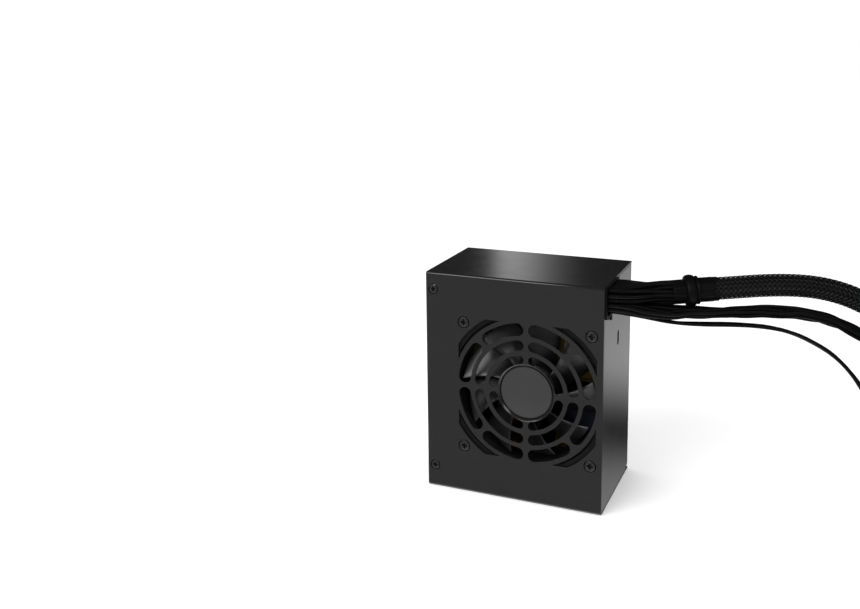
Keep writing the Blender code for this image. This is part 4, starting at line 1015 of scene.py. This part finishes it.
def add_inlet():
    """A mains inlet with screw ears and the keyed socket."""
    body = rectangle((0, 0), (28, 22.4), 1.2, 5)
    outline = body[:12] + arc((-20, 0), 5, 128, 232, 16) + body[12:] + arc((20, 0), 5, -52, 52, 16)
    plate = [(y, z + INLET_Z) for y, z in outline]
    made = show("mains_inlet", "black_plastic", [(prism, plate, "X", INLET_FACE, INLET_FACE + 1.6)])
    unite(made, (prism, rectangle((0, INLET_Z), (27.0, 19.6), 0.8, 4), "X", INLET_FACE + 0.5, -32.0))
    y, z = 12.1, 8.3
    socket = arc((-y + 1, -z + 1), 1, 180, 270, 5) + arc((y - 1, -z + 1), 1, 270, 360, 5)
    socket += [(y, z - 4.5), (y - 4.5, z), (-y + 4.5, z), (-y, z - 4.5)]
    cut(made, (prism, [(a, b + INLET_Z) for a, b in socket], "X", INLET_FACE - 1, -35.6), *seats("inlet"))
    pins = ((-7.0, 23.0), (7.0, 23.0), (0.0, 27.0))
    cut(made, *[(prism, rectangle(pin, (2.6, 4.6)), "X", -37.0, -31.0) for pin in pins])
    belongs(settle(made, 0.3, 3), "black_plastic", "inlet_socket")


def add_switch():
    """A bezel with its well."""
    def block(size, corner, steps, low, high):
        return prism, rectangle((0, SWITCH_Z), size, corner, steps), "X", low, high

    made = show("switch_bezel", "black_plastic", [block((21, 15), 0.8, 5, SWITCH_FACE, WEST - 0.3)])
    unite(made, block((18.9, 12.7), 0.5, 3, SWITCH_FACE + 0.4, -37.0))
    cut(made, block((17.2, 11.4), 0.4, 3, SWITCH_FACE - 1, -43.2))
    belongs(settle(made, 0.35, 3), "black_plastic", "switch_housing")


def add_rocker():
    """A rocker with raised on and off marks, drawn level about its pivot and tipped to its rest."""
    end, wide = 7.9, 10.8
    crown = [(-1.2 + 1.05 * (1 - (abs(t) / end) ** 1.6), t) for t in np.linspace(-end, end, 21)]
    outline = crown + [(3.0, end), (5.6, 1.5), (5.6, -1.5), (3.0, -end)]
    rocker = show("power_rocker", "rocker_plastic", [(prism, outline, "Z", -wide / 2, wide / 2)])
    settle(rocker, 0.35, 3)
    outer, inner = (arc((4.6, 0), radius, 0, 345, 23) for radius in (1.7, 1.15))
    circle = [[(x, a, b) for a, b in loop] for x, loop in
              ((-0.3, outer), (-0.98, outer), (-0.98, inner), (-0.3, inner))]
    line = (box, (-0.92, -5.9, -0.35), (-0.3, -2.9, 0.35))
    marks = show("rocker_marks", "white_mark", [line, (rings, circle, True)])
    tipped = Matrix.Rotation(math.radians(-9), 4, "Z")
    for piece in (rocker, marks):
        piece.data.transform(Matrix.Translation(Vector((-50.0, 0, SWITCH_Z)) * MM) @ tipped)
    belongs(rocker, "rocker_plastic", "switch_rocker", body="rocker")
    belongs(marks, "rocker_plastic", body="rocker")


def add_case():
    add_cover()
    add_tray()
    add_badge()
    add_screws()
    add_fan_frame()
    add_rotor()
    add_inlet()
    add_switch()
    add_rocker()


# Camera, floor and light, in metres

LIT = (0, 0, 0.06)  # the lights point here


def add_camera():
    lens = bpy.data.cameras.new("camera")
    lens.sensor_width = 36.0
    lens.lens = 41.858
    lens.shift_y = -0.1279
    lens.clip_start, lens.clip_end = 0.01, 60
    made = link("camera", lens)
    made.location = (0.16835, -0.52044, 0.26108)
    made.rotation_euler = [math.radians(a) for a in (80.130, 0.765, 23.636)]
    bpy.context.scene.camera = made


def add_floor():
    half = 12.0
    mesh = bpy.data.meshes.new("floor")
    spots = [(-half, -half, 0), (half, -half, 0), (half, half, 0), (-half, half, 0)]
    mesh.from_pydata(spots, [], [(0, 1, 2, 3)])
    mesh.materials.append(Finish("white_paper", grey(0.97), 0.75).dull(0).vary(0.004, 400).material)
    made = link("floor", mesh)
    made.location.z = -0.0002
    made.visible_glossy = False


def add_light(name, place, size, power):
    """A soft light turned to the middle of the case."""
    light = bpy.data.lights.new(name, "AREA")
    light.shape = "RECTANGLE"
    light.size, light.size_y = size
    light.energy = power
    made = link(name, light)
    made.location = place
    made.rotation_euler = (Vector(LIT) - Vector(place)).to_track_quat("-Z", "Y").to_euler()


# The studio as shiny surfaces see it: brightness by elevation in degrees, behind and before the case,
# and a softbox behind it to the left, by the tangent of the angle from straight behind.
BEHIND = [(-60, 0.7), (-34, 0.7), (-27, 0.5), (-25.2, 0.4), (-23.4, 0.01), (-22.2, 0.01), (-19.4, 0.85),
          (-16, 0.68), (-6, 0.55), (0, 0.3), (6, 0.01), (40, 0.02), (60, 0.1)]
BEFORE = [(-75, 3.0), (-55, 2.2), (-40, 0.9), (-30, 0.42), (-16, 0.42), (-6, 0.25), (10, 0.05), (60, 0.1)]
SOFTBOX = [(0.27, 0.0), (0.30, 0.2), (0.342, 1.0), (0.36, 1.0), (0.366, 0.0)]
SOFTBOX_STRENGTH, WHITE_STRENGTH = 1.05, 1.04


class Sky(Nodes):
    """The world's nodes."""

    def __init__(self):
        world = bpy.data.worlds.new("studio")
        world.use_nodes = True
        self.tree = world.node_tree
        self.tree.nodes.clear()
        bpy.context.scene.world = world

    def fed(self, kind, *values, **settings):
        """The first output of a node whose inputs get these values, in their order."""
        node = self.add(kind, **settings)
        for socket, value in zip(node.inputs, values):
            self.give(socket, value)
        return node.outputs[0]

    def math(self, operation, *values):
        return self.fed("ShaderNodeMath", *values, operation=operation)

    def levels(self, value, low, high, stops):
        """A number that follows the stops, (value, result), as the value goes from low to high."""
        share = self.math("DIVIDE", self.math("SUBTRACT", value, low), high - low)
        ramp = self.add("ShaderNodeValToRGB", Fac=share)
        points = ramp.color_ramp.elements
        while len(points) < len(stops):
            points.new(1.0)
        for point, (place, result) in zip(points, stops):
            point.position = (place - low) / (high - low)
            point.color = (result, result, result, 1)
        return ramp.outputs["Color"]

    def light(self, colour, strength=1.0):
        return self.add("ShaderNodeBackground", Color=colour, Strength=strength).outputs[0]


def add_surroundings():
    """White all round for soft light, and a darker room with one softbox for reflections."""
    sky = Sky()
    way = sky.add("ShaderNodeTexCoord").outputs["Generated"]
    x, y, z = sky.add("ShaderNodeSeparateXYZ", Vector=way).outputs
    height = sky.math("MULTIPLY", sky.math("ARCSINE", z), 180 / math.pi)
    left = sky.math("DIVIDE", sky.math("MULTIPLY", x, -1), sky.math("MAXIMUM", y, 0.05))
    across = sky.levels(left, 0, 1, SOFTBOX)
    upright = sky.levels(height, -90, 90, [(3, 0), (6, 1), (30, 1), (34, 0)])
    strip = sky.light(sky.math("MULTIPLY", across, upright), SOFTBOX_STRENGTH)
    behind = sky.fed("ShaderNodeAddShader", sky.light(sky.levels(height, -90, 90, BEHIND)), strip)
    before = sky.light(sky.levels(height, -90, 90, BEFORE))
    side = sky.levels(y, -1, 1, [(-0.15, 0), (0.15, 1)])
    room = sky.fed("ShaderNodeMixShader", side, before, behind)
    glossy = sky.add("ShaderNodeLightPath").outputs["Is Glossy Ray"]
    white = sky.light((1, 1, 1, 1), WHITE_STRENGTH)
    sky.add("ShaderNodeOutputWorld", Surface=sky.fed("ShaderNodeMixShader", glossy, white, room))


def add_studio():
    bpy.context.scene.view_settings.view_transform = "Standard"
    add_camera()
    add_floor()
    add_surroundings()
    add_light("softbox_front_right", (0.62, -0.45, 0.6), (0.4, 0.4), 1.6)
    add_light("softbox_front_left", (-0.36, -0.66, 0.52), (0.75, 0.5), 6.0)


def dress_cad():
    """Give each CAD node the material of its slot."""
    for part in frame["record"]["subparts"]:
        mesh = frame["nodes"][part["node"]].data
        mesh.materials.clear()
        mesh.materials.append(FINISHES[part["material_slot"]])


FINISHES = make_finishes()
add_studio()
dress_cad()
add_case()
add_cables()
